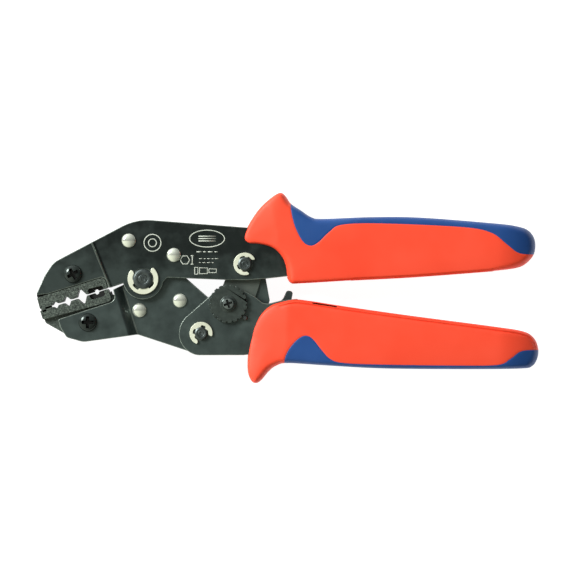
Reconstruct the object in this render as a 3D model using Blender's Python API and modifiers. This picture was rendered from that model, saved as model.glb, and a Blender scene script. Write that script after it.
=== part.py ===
"""Compound-lever crimping tool for small coaxial contacts, lying flat.

X runs from the jaws to the handle ends, Y across the tool and Z through its thickness.
Outlines are in millimetres, measured from the main pivot A and from the mid-plane between
the two side plates. The root empty then stands the finished tool on Z = 0.
"""
import math

import bmesh
import bpy
from mathutils import Matrix, Vector

MM = 0.001
MERGE = 0.00001

# Pivots of the linkage
A = (0.0, 0.0)            # main pivot: jaw on frame
B = (22.0, -20.6)         # handle on jaw
C = (38.6, 5.7)           # toggle link on frame
D = (32.3, -9.4)          # toggle link on handle, round the adjuster's eccentric
PAWL_AXIS = (52.4, -14.8)

# Directions at the head
DIE_TILT = math.radians(17.3)
FOLD_TILT = math.radians(22.0)
JAW_REST = math.radians(0.95)     # how far the jaw stands open from fully closed

# Thickness: distances from the mid-plane
PLATE = 2.0
JAW_IN = 1.7              # jaw plates, inner face
FRAME_IN = 4.0            # frame and handle plates, inner face
HEAD_IN = 5.2             # both pairs of plates where they hold the dies
FRAME_OUT = FRAME_IN + PLATE
HEAD_OUT = HEAD_IN + PLATE
LINK_HALF = 3.4
DIE_HALF = 7.1
TANG_HALF = 5.1
GRIP_HALF = 9.0
GAP = 0.1

# Folds that spread the plates at the head, as distances in front of A
FRAME_FOLD = (11.8, 12.9)
JAW_FOLD = (8.4, 11.4)

# Round pieces
MAIN_PIN = 3.75
HANDLE_PIN = 2.4
LINK_PIN = 2.6
RIVET = 1.6
SLEEVE = 2.7
DIE_SCREW = 1.9
TANG_PIN = 1.6
PAWL_PIN = 1.25
LOCK_PIN = 0.8
FRAME_RIVETS = ((-5.4, 14.55), (11.7, 9.1))
JAW_RIVETS = ((-1.4, -11.9), (13.95, -8.2))
UPPER_SCREW = (-26.5, 1.9)
LOWER_SCREW = (-20.9, -16.4)
UPPER_TANG_PIN = (74.0, 11.2)
LOWER_TANG_PIN = (76.0, -20.6)
LOCK_PLACE = (38.75, -14.75)

# Dies, in the head's own directions: u forwards from A, v across
DIE_BACK = 13.8
DIE_FRONT = 40.75
DIE_LINE = 0.7
DIE_TOP = 5.05
DIE_GAP = 0.06            # half the gap left between closed dies

# Adjuster
WHEEL_TIP = 7.3
WHEEL_ROOT = 6.7
WHEEL_NOTCHES = 20
SHAFT = 2.9
ECCENTRIC = 2.2
THROW = 0.3
LINK_BORE = 3.75
FLANGE = 4.8              # the shaft's back flange
WHEEL_SCREW = 1.3
WASHER = 3.1

# Ratchet
SECTOR_TIP = 15.0
SECTOR_ROOT = 13.9
SECTOR_TEETH = 15
SECTOR_SPAN = (-79.0, -7.0)
PAWL_GAP = 0.35


# ---------------------------------------------------------------- plane geometry

def arc(centre, radius, start, end, steps):
    """Points on an arc, angles in degrees, both ends included."""
    points = []
    for i in range(steps + 1):
        a = math.radians(start + (end - start) * i / steps)
        points.append((centre[0] + radius * math.cos(a), centre[1] + radius * math.sin(a)))
    return points


def square(points):
    """Corners that stay sharp, for rounded()."""
    return [(x, y, 0) for x, y in points]


def hole(centre, radius, sides=20):
    """A round hole whose flats lie on the radius."""
    return arc(centre, radius / math.cos(math.pi / sides), 0, 360 * (1 - 1 / sides), sides - 1)


def rounded(corners, step=16.0):
    """An outline from (x, y, radius) corners; a radius of 0 keeps the corner sharp."""
    points = []
    count = len(corners)
    for i, (x, y, radius) in enumerate(corners):
        here = Vector((x, y))
        if radius <= 0:
            points.append((x, y))
            continue
        back = (Vector(corners[i - 1][:2]) - here).normalized()
        ahead = (Vector(corners[(i + 1) % count][:2]) - here).normalized()
        half = back.angle(ahead) / 2
        centre = here + (back + ahead).normalized() * (radius / math.sin(half))
        first = here + back * (radius / math.tan(half)) - centre
        last = here + ahead * (radius / math.tan(half)) - centre
        turn = first.angle_signed(last)
        steps = max(1, round(abs(math.degrees(turn)) / step))
        for k in range(steps + 1):
            spoke = first.copy()
            spoke.rotate(Matrix.Rotation(-turn * k / steps, 2))
            points.append(tuple(centre + spoke))
    return points


def smooth(knots, pieces=2, closed=False):
    """Points on a smooth curve through the knots (Catmull-Rom)."""
    ends = [knots[0]] + list(knots) + [knots[-1]]
    if closed:
        ends = [knots[-1]] + list(knots) + [knots[0], knots[1]]
    points = []
    for p0, p1, p2, p3 in zip(ends, ends[1:], ends[2:], ends[3:]):
        for k in range(pieces):
            t = k / pieces
            points.append(tuple(
                0.5 * (2 * b + (c - a) * t + (2 * a - 5 * b + 4 * c - d) * t * t
                       + (3 * b - a - 3 * c + d) * t ** 3)
                for a, b, c, d in zip(p0, p1, p2, p3)))
    return points if closed else points + [tuple(knots[-1])]


def grown(outline, by):
    """The outline moved outwards by a small distance; it runs anticlockwise."""
    points = []
    count = len(outline)
    for i in range(count):
        here = Vector(outline[i])
        into = (here - Vector(outline[i - 1])).normalized()
        out = (Vector(outline[(i + 1) % count]) - here).normalized()
        normal = Vector((into.y + out.y, -into.x - out.x)).normalized()
        stretch = max(0.5, normal.dot(Vector((into.y, -into.x))))
        points.append(tuple(here + normal * (by / stretch)))
    return points


def head(u, v, turn=0.0):
    """A point given in the head's directions, turned about A."""
    a = DIE_TILT + turn
    return (-u * math.cos(a) - v * math.sin(a), -u * math.sin(a) + v * math.cos(a))


# ---------------------------------------------------------------- scene set-up

def clear_scene():
    for thing in list(bpy.data.objects):
        bpy.data.objects.remove(thing, do_unlink=True)


def make_material(name, colour, metallic, roughness):
    material = bpy.data.materials.new(name)
    material.use_nodes = True
    shader = material.node_tree.nodes["Principled BSDF"]
    shader.inputs["Base Color"].default_value = (*colour, 1.0)
    shader.inputs["Metallic"].default_value = metallic
    shader.inputs["Roughness"].default_value = roughness
    material.diffuse_color = (*colour, 1.0)
    return material


def make_empty(name, place, parent=None):
    empty = bpy.data.objects.new(name, None)
    empty.empty_display_size = 5 * MM
    empty.location = (place[0] * MM, place[1] * MM, 0)
    TOOL.objects.link(empty)
    if parent:
        empty.parent = parent
        empty.location -= parent.location
    return empty


def adopt(piece, name, body, material):
    """Name a piece, give it its material and hang it on its body's empty."""
    piece.name = name
    piece.data.name = name
    piece.data.materials.clear()
    piece.data.materials.append(MATERIALS[material])
    piece.parent = BODIES[body]
    if body != "fixed_frame":
        piece.location -= BODIES[body].location
    piece.data.set_sharp_from_angle(angle=math.radians(30))
    return piece


# ---------------------------------------------------------------- solids

def prism(name, loops, low, high):
    """A flat piece from closed outlines (the later ones are holes), low to high in Z."""
    curve = bpy.data.curves.new(name, "CURVE")
    curve.dimensions = "2D"
    curve.fill_mode = "BOTH"
    curve.extrude = (high - low) / 2 * MM
    for loop in loops:
        spline = curve.splines.new("POLY")
        spline.points.add(len(loop) - 1)
        for point, (x, y) in zip(spline.points, loop):
            point.co = (x * MM, y * MM, 0, 1)
        spline.use_cyclic_u = True
    flat = bpy.data.objects.new(name, curve)
    flat.location.z = (high + low) / 2 * MM
    TOOL.objects.link(flat)
    return curve_to_mesh(flat)


def curve_to_mesh(flat):
    """Turn a curve object into a closed mesh object in the same place."""
    bpy.context.view_layer.update()
    graph = bpy.context.evaluated_depsgraph_get()
    mesh = bpy.data.meshes.new_from_object(flat.evaluated_get(graph))
    mesh.transform(flat.matrix_world)
    bm = bmesh.new()
    bm.from_mesh(mesh)
    bmesh.ops.remove_doubles(bm, verts=bm.verts, dist=MERGE)
    bmesh.ops.recalc_face_normals(bm, faces=bm.faces)
    bm.to_mesh(mesh)
    bm.free()
    solid = bpy.data.objects.new(flat.name + "_mesh", mesh)
    TOOL.objects.link(solid)
    bpy.data.objects.remove(flat, do_unlink=True)
    return solid


def turned(name, profile, centre, steps=24):
    """A round piece: (radius, z) points from the top of its axis down the outside."""
    mesh = bpy.data.meshes.new(name)
    points = [(r * MM, 0, z * MM) for r, z in profile]
    mesh.from_pydata(points, [(i, i + 1) for i in range(len(points) - 1)], [])
    solid = bpy.data.objects.new(name, mesh)
    solid.location = (centre[0] * MM, centre[1] * MM, 0)
    TOOL.objects.link(solid)
    screw = solid.modifiers.new("Turn", "SCREW")
    screw.axis = "Z"
    screw.steps = steps
    screw.render_steps = steps
    screw.use_merge_vertices = True
    screw.merge_threshold = MERGE
    return solid


def tube(name, inner, outer, low, high, centre, steps=20):
    """A plain sleeve or washer."""
    ring = [(inner, high), (outer, high), (outer, low), (inner, low), (inner, high)]
    return turned(name, ring, centre, steps)


def wire(name, points, thickness):
    """A round wire along a run of points."""
    curve = bpy.data.curves.new(name, "CURVE")
    curve.dimensions = "3D"
    curve.bevel_depth = thickness / 2 * MM
    curve.bevel_resolution = 1
    curve.use_fill_caps = True
    spline = curve.splines.new("POLY")
    spline.points.add(len(points) - 1)
    for point, (x, y, z) in zip(spline.points, points):
        point.co = (x * MM, y * MM, z * MM, 1)
    line = bpy.data.objects.new(name, curve)
    TOOL.objects.link(line)
    return curve_to_mesh(line)


def as_cutter(piece):
    """Put a piece with the cutters, out of the finished tool; it follows the root."""
    TOOL.objects.unlink(piece)
    CUTTERS.objects.link(piece)
    piece.hide_render = True
    piece.display_type = "WIRE"
    piece.parent = BODIES["fixed_frame"]
    return piece


def combine(piece, other, operation):
    cutter = as_cutter(other)
    step = piece.modifiers.new(operation.title(), "BOOLEAN")
    step.operation = operation
    step.solver = "EXACT"
    step.object = cutter
    return piece


def cut(piece, cutter):
    return combine(piece, cutter, "DIFFERENCE")


def fold(piece, side, tilt, first, last, rise):
    """Spread a plate outwards by rise, between two lines across the head."""
    forwards = Vector((-math.cos(tilt), -math.sin(tilt), 0))
    bm = bmesh.new()
    bm.from_mesh(piece.data)
    for distance in (first, last):
        everything = list(bm.verts) + list(bm.edges) + list(bm.faces)
        bmesh.ops.bisect_plane(bm, geom=everything, plane_co=forwards * distance * MM,
                               plane_no=forwards, dist=MERGE / 10)
    for vertex in bm.verts:
        along = vertex.co.dot(forwards) / MM
        share = min(1.0, max(0.0, (along - first) / (last - first)))
        vertex.co.z += side * rise * MM * share
    bmesh.ops.triangulate(bm, faces=[face for face in bm.faces if len(face.verts) > 4])
    bm.to_mesh(piece.data)
    bm.free()
    return piece


def side_plate(name, side, loops, inner):
    """One of a mirrored pair of plates; side is +1 for the front and -1 for the back."""
    if side > 0:
        return prism(name, loops, inner, inner + PLATE)
    return prism(name, loops, -inner - PLATE, -inner)


SIDES = (("front", 1), ("back", -1))


# ---------------------------------------------------------------- frame

def frame_outline():
    ear = arc(A, 7.7, 191.5, 351, 12)
    corners = square(ear) + [
        (9.2, 0.55, 1.4), (31.4, -0.35, 0), (39.6, -0.4, 14), (46.2, 0.1, 14), (57.0, 1.3, 4),
        (66.0, 4.9, 8), (122.0, 7.6, 3), (122.0, 15.2, 3), (62.0, 17.8, 6), (-2.7, 22.8, 20.7),
        (-34.1, 6.2, 9), (-37.3, 1.2, 5), (-40.55, -6.1, 0.3),
        (*head(DIE_FRONT - 4.8, DIE_TOP + 0.25), 0), (*head(DIE_BACK - 0.35, DIE_TOP + 0.25), 2.0),
        (*head(DIE_BACK - 0.35, 0.72), 0.3), (*head(12.95, 0.66), 0)]
    return rounded(corners)


def frame_plates():
    loops = [frame_outline(), hole(A, MAIN_PIN + GAP, 24), hole(C, LINK_PIN + GAP),
             hole(UPPER_SCREW, DIE_SCREW + GAP, 16), hole(UPPER_TANG_PIN, TANG_PIN + GAP, 12)]
    for place in FRAME_RIVETS:
        loops.append(hole(place, RIVET + GAP, 16))
    for word, side in SIDES:
        plate = side_plate("upper_plate", side, loops, FRAME_IN)
        fold(plate, side, FOLD_TILT, *FRAME_FOLD, HEAD_IN - FRAME_IN)
        adopt(plate, "upper_plate_" + word, "fixed_frame", "black_steel")


# ---------------------------------------------------------------- moving jaw

def jaw_outline():
    tail = arc(B, 8.0, -108.7, 62, 14)
    ear = arc(A, 7.8, 62, 195.8, 12)
    corners = [
        (*head(35.3, -5.05), 0.8), (-31.2, -18.6, 3), (-28.9, -22.2, 2), (-22.6, -23.9, 6),
        (-2.1, -21.1, 2)] + square(tail) + [(22.9, -10.0, 2.5), (24.7, -7.1, 0.5),
        (16.4, 0.15, 3)] + square(ear) + [
        (*head(12.0, -0.45), 0.3), (*head(12.35, -4.75), 2.4)]
    return rounded(corners)


def jaw_plates():
    loops = [jaw_outline(), hole(A, MAIN_PIN + GAP, 24), hole(B, HANDLE_PIN + GAP),
             hole(LOWER_SCREW, DIE_SCREW + GAP, 16)]
    for place in JAW_RIVETS:
        loops.append(hole(place, RIVET + GAP, 16))
    for word, side in SIDES:
        plate = side_plate("jaw_plate", side, loops, JAW_IN)
        fold(plate, side, DIE_TILT, *JAW_FOLD, HEAD_IN - JAW_IN)
        adopt(plate, "jaw_plate_" + word, "moving_jaw", "black_steel")


# ---------------------------------------------------------------- dies

# Half cavities along the die line: where, then (forward, deep) corners
CAVITIES = (
    (18.3, ((-1.0, 0), (-0.65, 0.6), (0, 0.8), (0.65, 0.6), (1.0, 0))),
    (24.1, ((-1.95, 0), (-0.5, 2.4), (0.5, 2.4), (1.95, 0))),
    (29.9, ((-1.45, 0), (-0.45, 1.4), (0.45, 1.4), (1.45, 0))),
    (34.6, ((-1.2, 0), (-0.4, 0.85), (0.4, 0.85), (1.2, 0))),
)
NEST = (38.5, 40.0)       # stepped indent at the nose: u range
NEST_STEP = 0.8
TONGUE = (36.4, 40.55)    # locating tongue under the upper die's nose: u range
TONGUE_DEEP = 1.6
TONGUE_HALF = 2.0
TONGUE_GAP = 0.3


def die_line(sign, step_gap):
    """The working edge from the back end to the nose; sign is +1 on the upper die."""
    level = DIE_LINE + sign * DIE_GAP
    points = []
    for place, corners in CAVITIES:
        points += [(place + du, level + sign * dv) for du, dv in corners]
    low = level - NEST_STEP
    first, last = NEST[0] + sign * step_gap, NEST[1] - sign * step_gap
    return points + [(first, level), (first, low), (last, low), (last, level)]


def tongue(turn, gap):
    """The locating tongue, or with a gap the slot that it enters in the other die."""
    first, last = TONGUE[0] - gap, TONGUE[1] + 4 * gap
    corners = [head(u, v, turn) for u, v in
               ((first, 1.2), (first, -TONGUE_DEEP - gap), (last, -TONGUE_DEEP - gap), (last, 1.2))]
    return prism("tongue", [corners], -TONGUE_HALF - gap, TONGUE_HALF + gap)


def upper_die():
    edge = [(*head(*point), 0) for point in die_line(1, GAP)]
    corners = [(*head(DIE_BACK, DIE_LINE + DIE_GAP), 0.6)] + edge + [
        (*head(DIE_FRONT - 0.1, DIE_LINE + DIE_GAP), 0), (*head(DIE_FRONT - 0.25, DIE_TOP), 0.3),
        (*head(DIE_BACK, DIE_TOP), 1.7)]
    body = prism("upper_die", [rounded(corners[::-1])], -DIE_HALF, DIE_HALF)
    corners = [(*head(u, v), radius) for u, v, radius in
               ((13.4, 0.95, 0), (13.5, 5.0, 0), (14.4, 9.5, 2), (19.0, 14.1, 2), (28.6, 14.1, 2),
                (32.5, 10.5, 3), (39.3, 7.6, 1), (40.45, 6.0, 0.3), (40.3, 4.4, 0), (17.0, 4.4, 0))]
    tang = prism("upper_tang", [rounded(corners), hole(UPPER_SCREW, DIE_SCREW + GAP, 16)],
                 -TANG_HALF, TANG_HALF)
    combine(body, tang, "UNION")
    combine(body, tongue(0, 0), "UNION")
    adopt(body, "upper_die", "fixed_frame", "die_steel")


def lower_die():
    def place(u, v):
        return head(u, v, JAW_REST)

    edge = [(*place(*point), 0) for point in die_line(-1, 0)]
    corners = [(*place(DIE_BACK, DIE_LINE - DIE_GAP), 0.6)] + edge + [
        (*place(DIE_FRONT + 0.1, DIE_LINE - DIE_GAP), 0), (*place(DIE_FRONT + 0.1, -2.7), 0.4),
        (*place(DIE_BACK, -4.25), 1.5)]
    body = prism("lower_die", [rounded(corners)], -DIE_HALF, DIE_HALF)
    corners = [(*place(u, v), radius) for u, v, radius in
               ((40.4, -2.3, 0), (40.3, -4.3, 0.5), (34.8, -10.3, 1), (31.5, -13.2, 2),
                (19.0, -13.2, 3), (15.2, -8.0, 2), (12.45, -4.0, 1), (12.45, -2.4, 0),
                (13.1, -1.8, 0), (13.1, -0.6, 0), (15.0, -3.5, 0))]
    tang = prism("lower_tang", [rounded(corners), hole(LOWER_SCREW, DIE_SCREW + GAP, 16)],
                 -TANG_HALF, TANG_HALF)
    combine(body, tang, "UNION")
    cut(body, tongue(JAW_REST, TONGUE_GAP))
    adopt(body, "lower_die", "moving_jaw", "die_steel")


def die_screw(name, place, body, turn):
    """A cross-recessed pan head at the front, a hex nut at the back."""
    top = HEAD_OUT + GAP
    bottom = -GRIP_HALF
    profile = [(0, top + 1.7), (1.6, top + 1.6), (2.8, top + 1.15), (3.4, top + 0.5), (3.5, top),
               (DIE_SCREW, top), (DIE_SCREW, bottom + 0.15), (0, bottom + 0.15)]
    screw = turned(name, profile, place, 20)
    for quarter in (0, 90):
        a = math.radians(turn + quarter)
        bpy.ops.mesh.primitive_cube_add(size=1, location=(place[0] * MM, place[1] * MM, (top + 1.35) * MM))
        slot = bpy.context.object
        slot.dimensions = (4.2 * MM, 0.9 * MM, 1.5 * MM)
        slot.rotation_euler.z = a
        collect(slot)
        cut(screw, slot)
    adopt(screw, name, body, "black_screw")
    corners = arc(place, 3.4 / math.cos(math.pi / 6), turn, turn + 300, 5)
    nut = prism(name + "_nut", [corners, hole(place, DIE_SCREW + GAP, 16)], bottom, -HEAD_OUT - GAP)
    adopt(nut, name + "_nut", body, "black_screw")


def collect(piece):
    """Move an operator's object into the tool's collection."""
    for collection in list(piece.users_collection):
        collection.objects.unlink(piece)
    TOOL.objects.link(piece)


# ---------------------------------------------------------------- rivets, pins and clips

def rivet(name, place, body, face):
    """A rivet with a domed head on both sides of the tool."""
    dome = [(0, 1.15), (1.15, 1.0), (2.1, 0.6), (2.7, 0)]
    low = face + GAP
    profile = [(r, low + z) for r, z in dome] + [(RIVET, low), (RIVET, -low)]
    profile += [(r, -low - z) for r, z in dome[::-1]]
    adopt(turned(name, profile, place, 20), name, body, "bright_steel")


def rivets_and_sleeves():
    for number, place in enumerate(FRAME_RIVETS, 1):
        rivet(f"upper_rivet_{number}", place, "fixed_frame", FRAME_OUT)
        half = FRAME_IN - GAP
        sleeve = tube("sleeve", RIVET + GAP, SLEEVE, -half, half, place)
        adopt(sleeve, f"upper_sleeve_{number}", "fixed_frame", "plain_steel")
    for number, place in enumerate(JAW_RIVETS, 1):
        rivet(f"jaw_rivet_{number}", place, "moving_jaw", JAW_IN + PLATE)
        half = JAW_IN - GAP
        sleeve = tube("sleeve", RIVET + GAP, SLEEVE, -half, half, place)
        adopt(sleeve, f"jaw_sleeve_{number}", "moving_jaw", "plain_steel")


CLIP_LOW = FRAME_OUT + GAP
CLIP_THICK = 0.8


def clip_pin(name, place, radius, back_head, body):
    """A headed pin; its groove near the front end takes the clip."""
    groove_low = CLIP_LOW - 0.05
    groove_high = CLIP_LOW + CLIP_THICK + 0.1
    end = groove_high + 0.5
    neck = radius * 0.8
    profile = [(0, end), (radius * 0.9, end), (radius, end - 0.25),
               (radius, groove_high), (neck, groove_high), (neck, groove_low), (radius, groove_low),
               (radius, -FRAME_OUT - GAP), (back_head, -FRAME_OUT - GAP),
               (back_head, -FRAME_OUT - 1.5), (0, -FRAME_OUT - 1.5)]
    adopt(turned(name, profile, place), name, body, "dark_steel")


CLIP_RING = 1.3


def spot(centre, radius, degrees):
    a = math.radians(degrees)
    return (centre[0] + radius * math.cos(a), centre[1] + radius * math.sin(a))


def snap_clip(name, place, radius, outer, opening, width, body, slack):
    """An open ring with three lugs in the pin's groove; slack is the gap between pin and horns."""
    inner = outer - CLIP_RING
    lug = radius * 0.8 + 0.08
    start = opening + width / 2
    end = start + 360 - width
    middle = (start + end) / 2
    hold = radius + slack
    horn = [(outer - 0.3, 0), (hold + 0.7, 0.5), (hold + 0.1, 7)]
    inside = [spot(place, reach, end - turn) for reach, turn in horn]
    inside += arc(place, hold, end - 10, end - 42, 4)
    inside += arc(place, lug, end - 46, end - 60, 2)
    inside += arc(place, inner, end - 68, middle + 30, 4)
    inside += arc(place, lug, middle + 21, middle - 21, 4)
    inside += arc(place, inner, middle - 30, start + 68, 4)
    inside += arc(place, lug, start + 60, start + 46, 2)
    inside += arc(place, hold, start + 42, start + 10, 4)
    inside += [spot(place, reach, start + turn) for reach, turn in horn[::-1]]
    ring = arc(place, outer, start + 4, end - 4, 18)
    clip = prism(name, [ring + inside], CLIP_LOW, CLIP_LOW + CLIP_THICK)
    adopt(clip, name, body, "zinc_steel")


def pins_and_clips():
    clip_pin("main_pivot_pin", A, MAIN_PIN, 5.4, "fixed_frame")
    snap_clip("main_pivot_clip", A, MAIN_PIN, 5.8, 96, 92, "fixed_frame", 0.15)
    clip_pin("link_pin", C, LINK_PIN, 4.0, "fixed_frame")
    snap_clip("link_pin_clip", C, LINK_PIN, 4.3, -21, 90, "fixed_frame", 0.4)
    clip_pin("handle_pin", B, HANDLE_PIN, 3.9, "moving_handle")
    snap_clip("handle_pin_clip", B, HANDLE_PIN, 4.36, -63, 94, "moving_handle", 0.4)


def plain_pin(name, place, radius, low, high, body, steps=12):
    profile = [(0, high), (radius, high), (radius, low), (0, low)]
    adopt(turned(name, profile, place, steps), name, body, "dark_steel")


def tang_pins():
    """Pins and sleeves that hold each pair of plates together inside its grip."""
    for word, place, body in (("upper", UPPER_TANG_PIN, "fixed_frame"),
                              ("lower", LOWER_TANG_PIN, "moving_handle")):
        plain_pin(word + "_tang_pin", place, TANG_PIN, -FRAME_OUT, FRAME_OUT, body)
        half = FRAME_IN - GAP
        sleeve = tube("sleeve", TANG_PIN + GAP, SLEEVE, -half, half, place, 16)
        adopt(sleeve, word + "_tang_sleeve", body, "plain_steel")


# ---------------------------------------------------------------- return spring

SPRING_WIRE = 0.9
SPRING_COIL = 5.0         # radius to the middle of the wire
SPRING_HALF = 1.1
SPRING_CLEAR = 0.4
SPRING_REACH = 1.5        # how far a leg runs past its sleeve


def return_spring():
    """A torsion spring round the main pin; its legs squeeze a frame sleeve and a jaw sleeve."""
    def leg(place):
        distance = math.hypot(*place)
        offset = SLEEVE + SPRING_WIRE / 2 + SPRING_CLEAR
        lean = math.asin((SPRING_COIL - offset) / distance)
        return distance * math.cos(lean) + SPRING_REACH, lean, math.atan2(place[1], place[0])

    upper_length, lean, along = leg(FRAME_RIVETS[1])
    upper = along - lean
    lower_length, lean, along = leg(JAW_RIVETS[1])
    lower = along + lean
    start = lower - math.pi / 2
    finish = upper + math.pi / 2 - 6 * math.pi
    steps = 40
    points = [(SPRING_COIL * math.cos(start) + lower_length * math.cos(lower),
               SPRING_COIL * math.sin(start) + lower_length * math.sin(lower), -SPRING_HALF)]
    for i in range(steps + 1):
        a = start + (finish - start) * i / steps
        z = -SPRING_HALF + 2 * SPRING_HALF * i / steps
        points.append((SPRING_COIL * math.cos(a), SPRING_COIL * math.sin(a), z))
    points.append((points[-1][0] + upper_length * math.cos(upper),
                   points[-1][1] + upper_length * math.sin(upper), SPRING_HALF))
    adopt(wire("return_spring", points, SPRING_WIRE), "return_spring", "fixed_frame", "plain_steel")


# ---------------------------------------------------------------- toggle link

def link_outline():
    teeth = []
    first, last = SECTOR_SPAN
    pitch = (last - first) / SECTOR_TEETH
    for i in range(SECTOR_TEETH):
        a = first + i * pitch
        teeth += arc(D, SECTOR_ROOT, a, a + 0.1 * pitch, 1)
        teeth += arc(D, SECTOR_TIP, a + 0.45 * pitch, a + 0.65 * pitch, 1)
    corners = square(teeth) + [
        (48.0, -8.1, 0.4), (46.4, 0.6, 0), (44.8, 8.0, 3)] + square(arc(C, 5.2, 60, 170, 6)) + [
        (31.05, -0.3, 2), (30.0, -3.0, 1)] + square(arc(D, 5.7, 140, 265, 8)) + [(34.0, -21.0, 0)]
    return rounded(corners)


def toggle_link():
    loops = [link_outline(), hole(C, LINK_PIN + GAP), hole(D, LINK_BORE, 24)]
    link = prism("toggle_link", loops, -LINK_HALF, LINK_HALF)
    adopt(link, "toggle_link", "toggle_link", "black_steel")


# ---------------------------------------------------------------- moving handle

def handle_outline():
    boss = arc(D, 6.9, 62, 138, 6)
    tail = arc(B, 8.4, 128.7, 262, 10)
    corners = [(38.0, -28.9, 0), (50.0, -27.6, 6), (128.0, -28.6, 3), (128.0, -21.6, 3), (59.0, -12.6, 8),
               (47.4, -9.7, 4), (45.4, -9.1, 2), (42.6, -6.9, 6), (38.7, -4.7, 4)]
    return rounded(corners + square(boss + tail))


def handle_plates():
    loops = [handle_outline(), hole(B, HANDLE_PIN + GAP), hole(D, SHAFT + GAP),
             hole(PAWL_AXIS, PAWL_PIN + GAP, 12), hole(LOWER_TANG_PIN, TANG_PIN + GAP, 12),
             hole(SPRING_ANCHOR, ANCHOR_PIN + GAP, 12)]
    for word, side in SIDES:
        bores = loops + [hole(LOCK_PLACE, LOCK_PIN + GAP, 12)] if side > 0 else loops
        plate = side_plate("handle_plate", side, bores, FRAME_IN)
        adopt(plate, "handle_plate_" + word, "moving_handle", "black_steel")
    plain_pin("adjuster_lock_pin", LOCK_PLACE, LOCK_PIN, FRAME_IN + 0.2, FRAME_OUT + 1.3, "moving_handle")


# ---------------------------------------------------------------- adjuster

WHEEL_LOW = FRAME_OUT + GAP
WHEEL_HIGH = WHEEL_LOW + 1.5


def adjuster():
    adjuster_shaft()
    outline = []
    pitch = 360 / WHEEL_NOTCHES
    for i in range(WHEEL_NOTCHES):
        outline += arc(D, WHEEL_TIP, i * pitch, (i + 0.62) * pitch, 2)
        outline += arc(D, WHEEL_ROOT, (i + 0.72) * pitch, (i + 0.9) * pitch, 1)
    wheel = prism("adjuster_wheel", [outline, hole(D, WHEEL_SCREW + GAP, 12)], WHEEL_LOW, WHEEL_HIGH)
    adopt(wheel, "adjuster_wheel", "adjuster", "black_steel")
    washer = tube("adjuster_washer", WHEEL_SCREW + GAP, WASHER, WHEEL_HIGH + GAP, WHEEL_HIGH + 0.55, D, 24)
    adopt(washer, "adjuster_washer", "adjuster", "black_steel")
    top = WHEEL_HIGH + 0.65
    profile = [(0, top + 1.0), (1.2, top + 0.95), (2.5, top + 0.6), (2.5, top), (WHEEL_SCREW, top),
               (WHEEL_SCREW, 4.1), (0, 4.1)]
    adopt(turned("adjuster_screw", profile, D, 16), "adjuster_screw", "adjuster", "dark_steel")


def adjuster_shaft():
    """Two journals on the handle plates and, between them, the eccentric that carries the link."""
    journal = LINK_HALF + 0.25
    back = FRAME_OUT + GAP
    flange = [(0, -journal), (SHAFT, -journal), (SHAFT, -back), (FLANGE, -back),
              (FLANGE, -back - 1.2), (0, -back - 1.2)]
    shaft = turned("adjuster_shaft", flange, D, 20)
    front = tube("front_journal", WHEEL_SCREW + GAP, SHAFT, journal, back - GAP, D, 20)
    core = turned("eccentric", [(0, journal + 0.2), (ECCENTRIC, journal + 0.2), (ECCENTRIC, -journal - 0.2),
                                (0, -journal - 0.2)], (D[0] + THROW, D[1]), 20)
    combine(shaft, core, "UNION")
    combine(shaft, front, "UNION")
    adopt(shaft, "adjuster_shaft", "adjuster", "dark_steel")


# ---------------------------------------------------------------- ratchet pawl

PAWL_HALF = 2.0
SPRING_ANCHOR = (70.0, -22.8)
ANCHOR_PIN = 1.0


def release_pawl():
    px, py = PAWL_AXIS
    toward = Vector((D[0] - px, D[1] - py))
    nose = toward.length - SECTOR_TIP - PAWL_GAP
    tip = Vector(PAWL_AXIS) + toward.normalized() * nose
    corners = [(tip.x, tip.y, 0), (tip.x + 1.2, tip.y - 1.2, 0), (50.2, -17.0, 1), (52.6, -18.6, 1.5),
               (55.2, -17.4, 1.5), (55.3, -12.0, 1), (56.2, -8.4, 1), (56.9, -4.7, 1.0),
               (54.5, -4.3, 1.0), (53.1, -7.4, 2), (50.4, -9.9, 1), (tip.x + 1.4, tip.y + 0.7, 0)]
    pawl = prism("release_pawl", [rounded(corners), hole(PAWL_AXIS, PAWL_PIN + GAP, 12)],
                 -PAWL_HALF, PAWL_HALF)
    adopt(pawl, "release_pawl", "release_pawl", "black_steel")
    plain_pin("pawl_pin", PAWL_AXIS, PAWL_PIN, -FRAME_OUT, FRAME_OUT, "moving_handle")
    plain_pin("spring_anchor_pin", SPRING_ANCHOR, ANCHOR_PIN, -FRAME_OUT, FRAME_OUT, "moving_handle")
    pawl_spring()


def pawl_spring():
    """An extension spring from behind the pawl's tail to the anchor pin."""
    start = Vector((57.0, -19.2, 0))
    finish = Vector((*SPRING_ANCHOR, 0)) - Vector((2.2, -0.5, 0))
    along = (finish - start).normalized()
    across = Vector((-along.y, along.x, 0))
    turns, per_turn, radius = 6, 8, 1.4
    points = [tuple(start)]
    for i in range(turns * per_turn + 1):
        share = (i + 5) / (turns * per_turn + 10)
        a = 2 * math.pi * i / per_turn
        offset = across * (radius * math.cos(a)) + Vector((0, 0, radius * math.sin(a)))
        points.append(tuple(start.lerp(finish, share) + offset))
    points.append(tuple(finish))
    adopt(wire("pawl_spring", points, 0.5), "pawl_spring", "moving_handle", "plain_steel")


# ---------------------------------------------------------------- grips

GRIP_EDGE = 1.5
POCKET = 0.15

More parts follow.
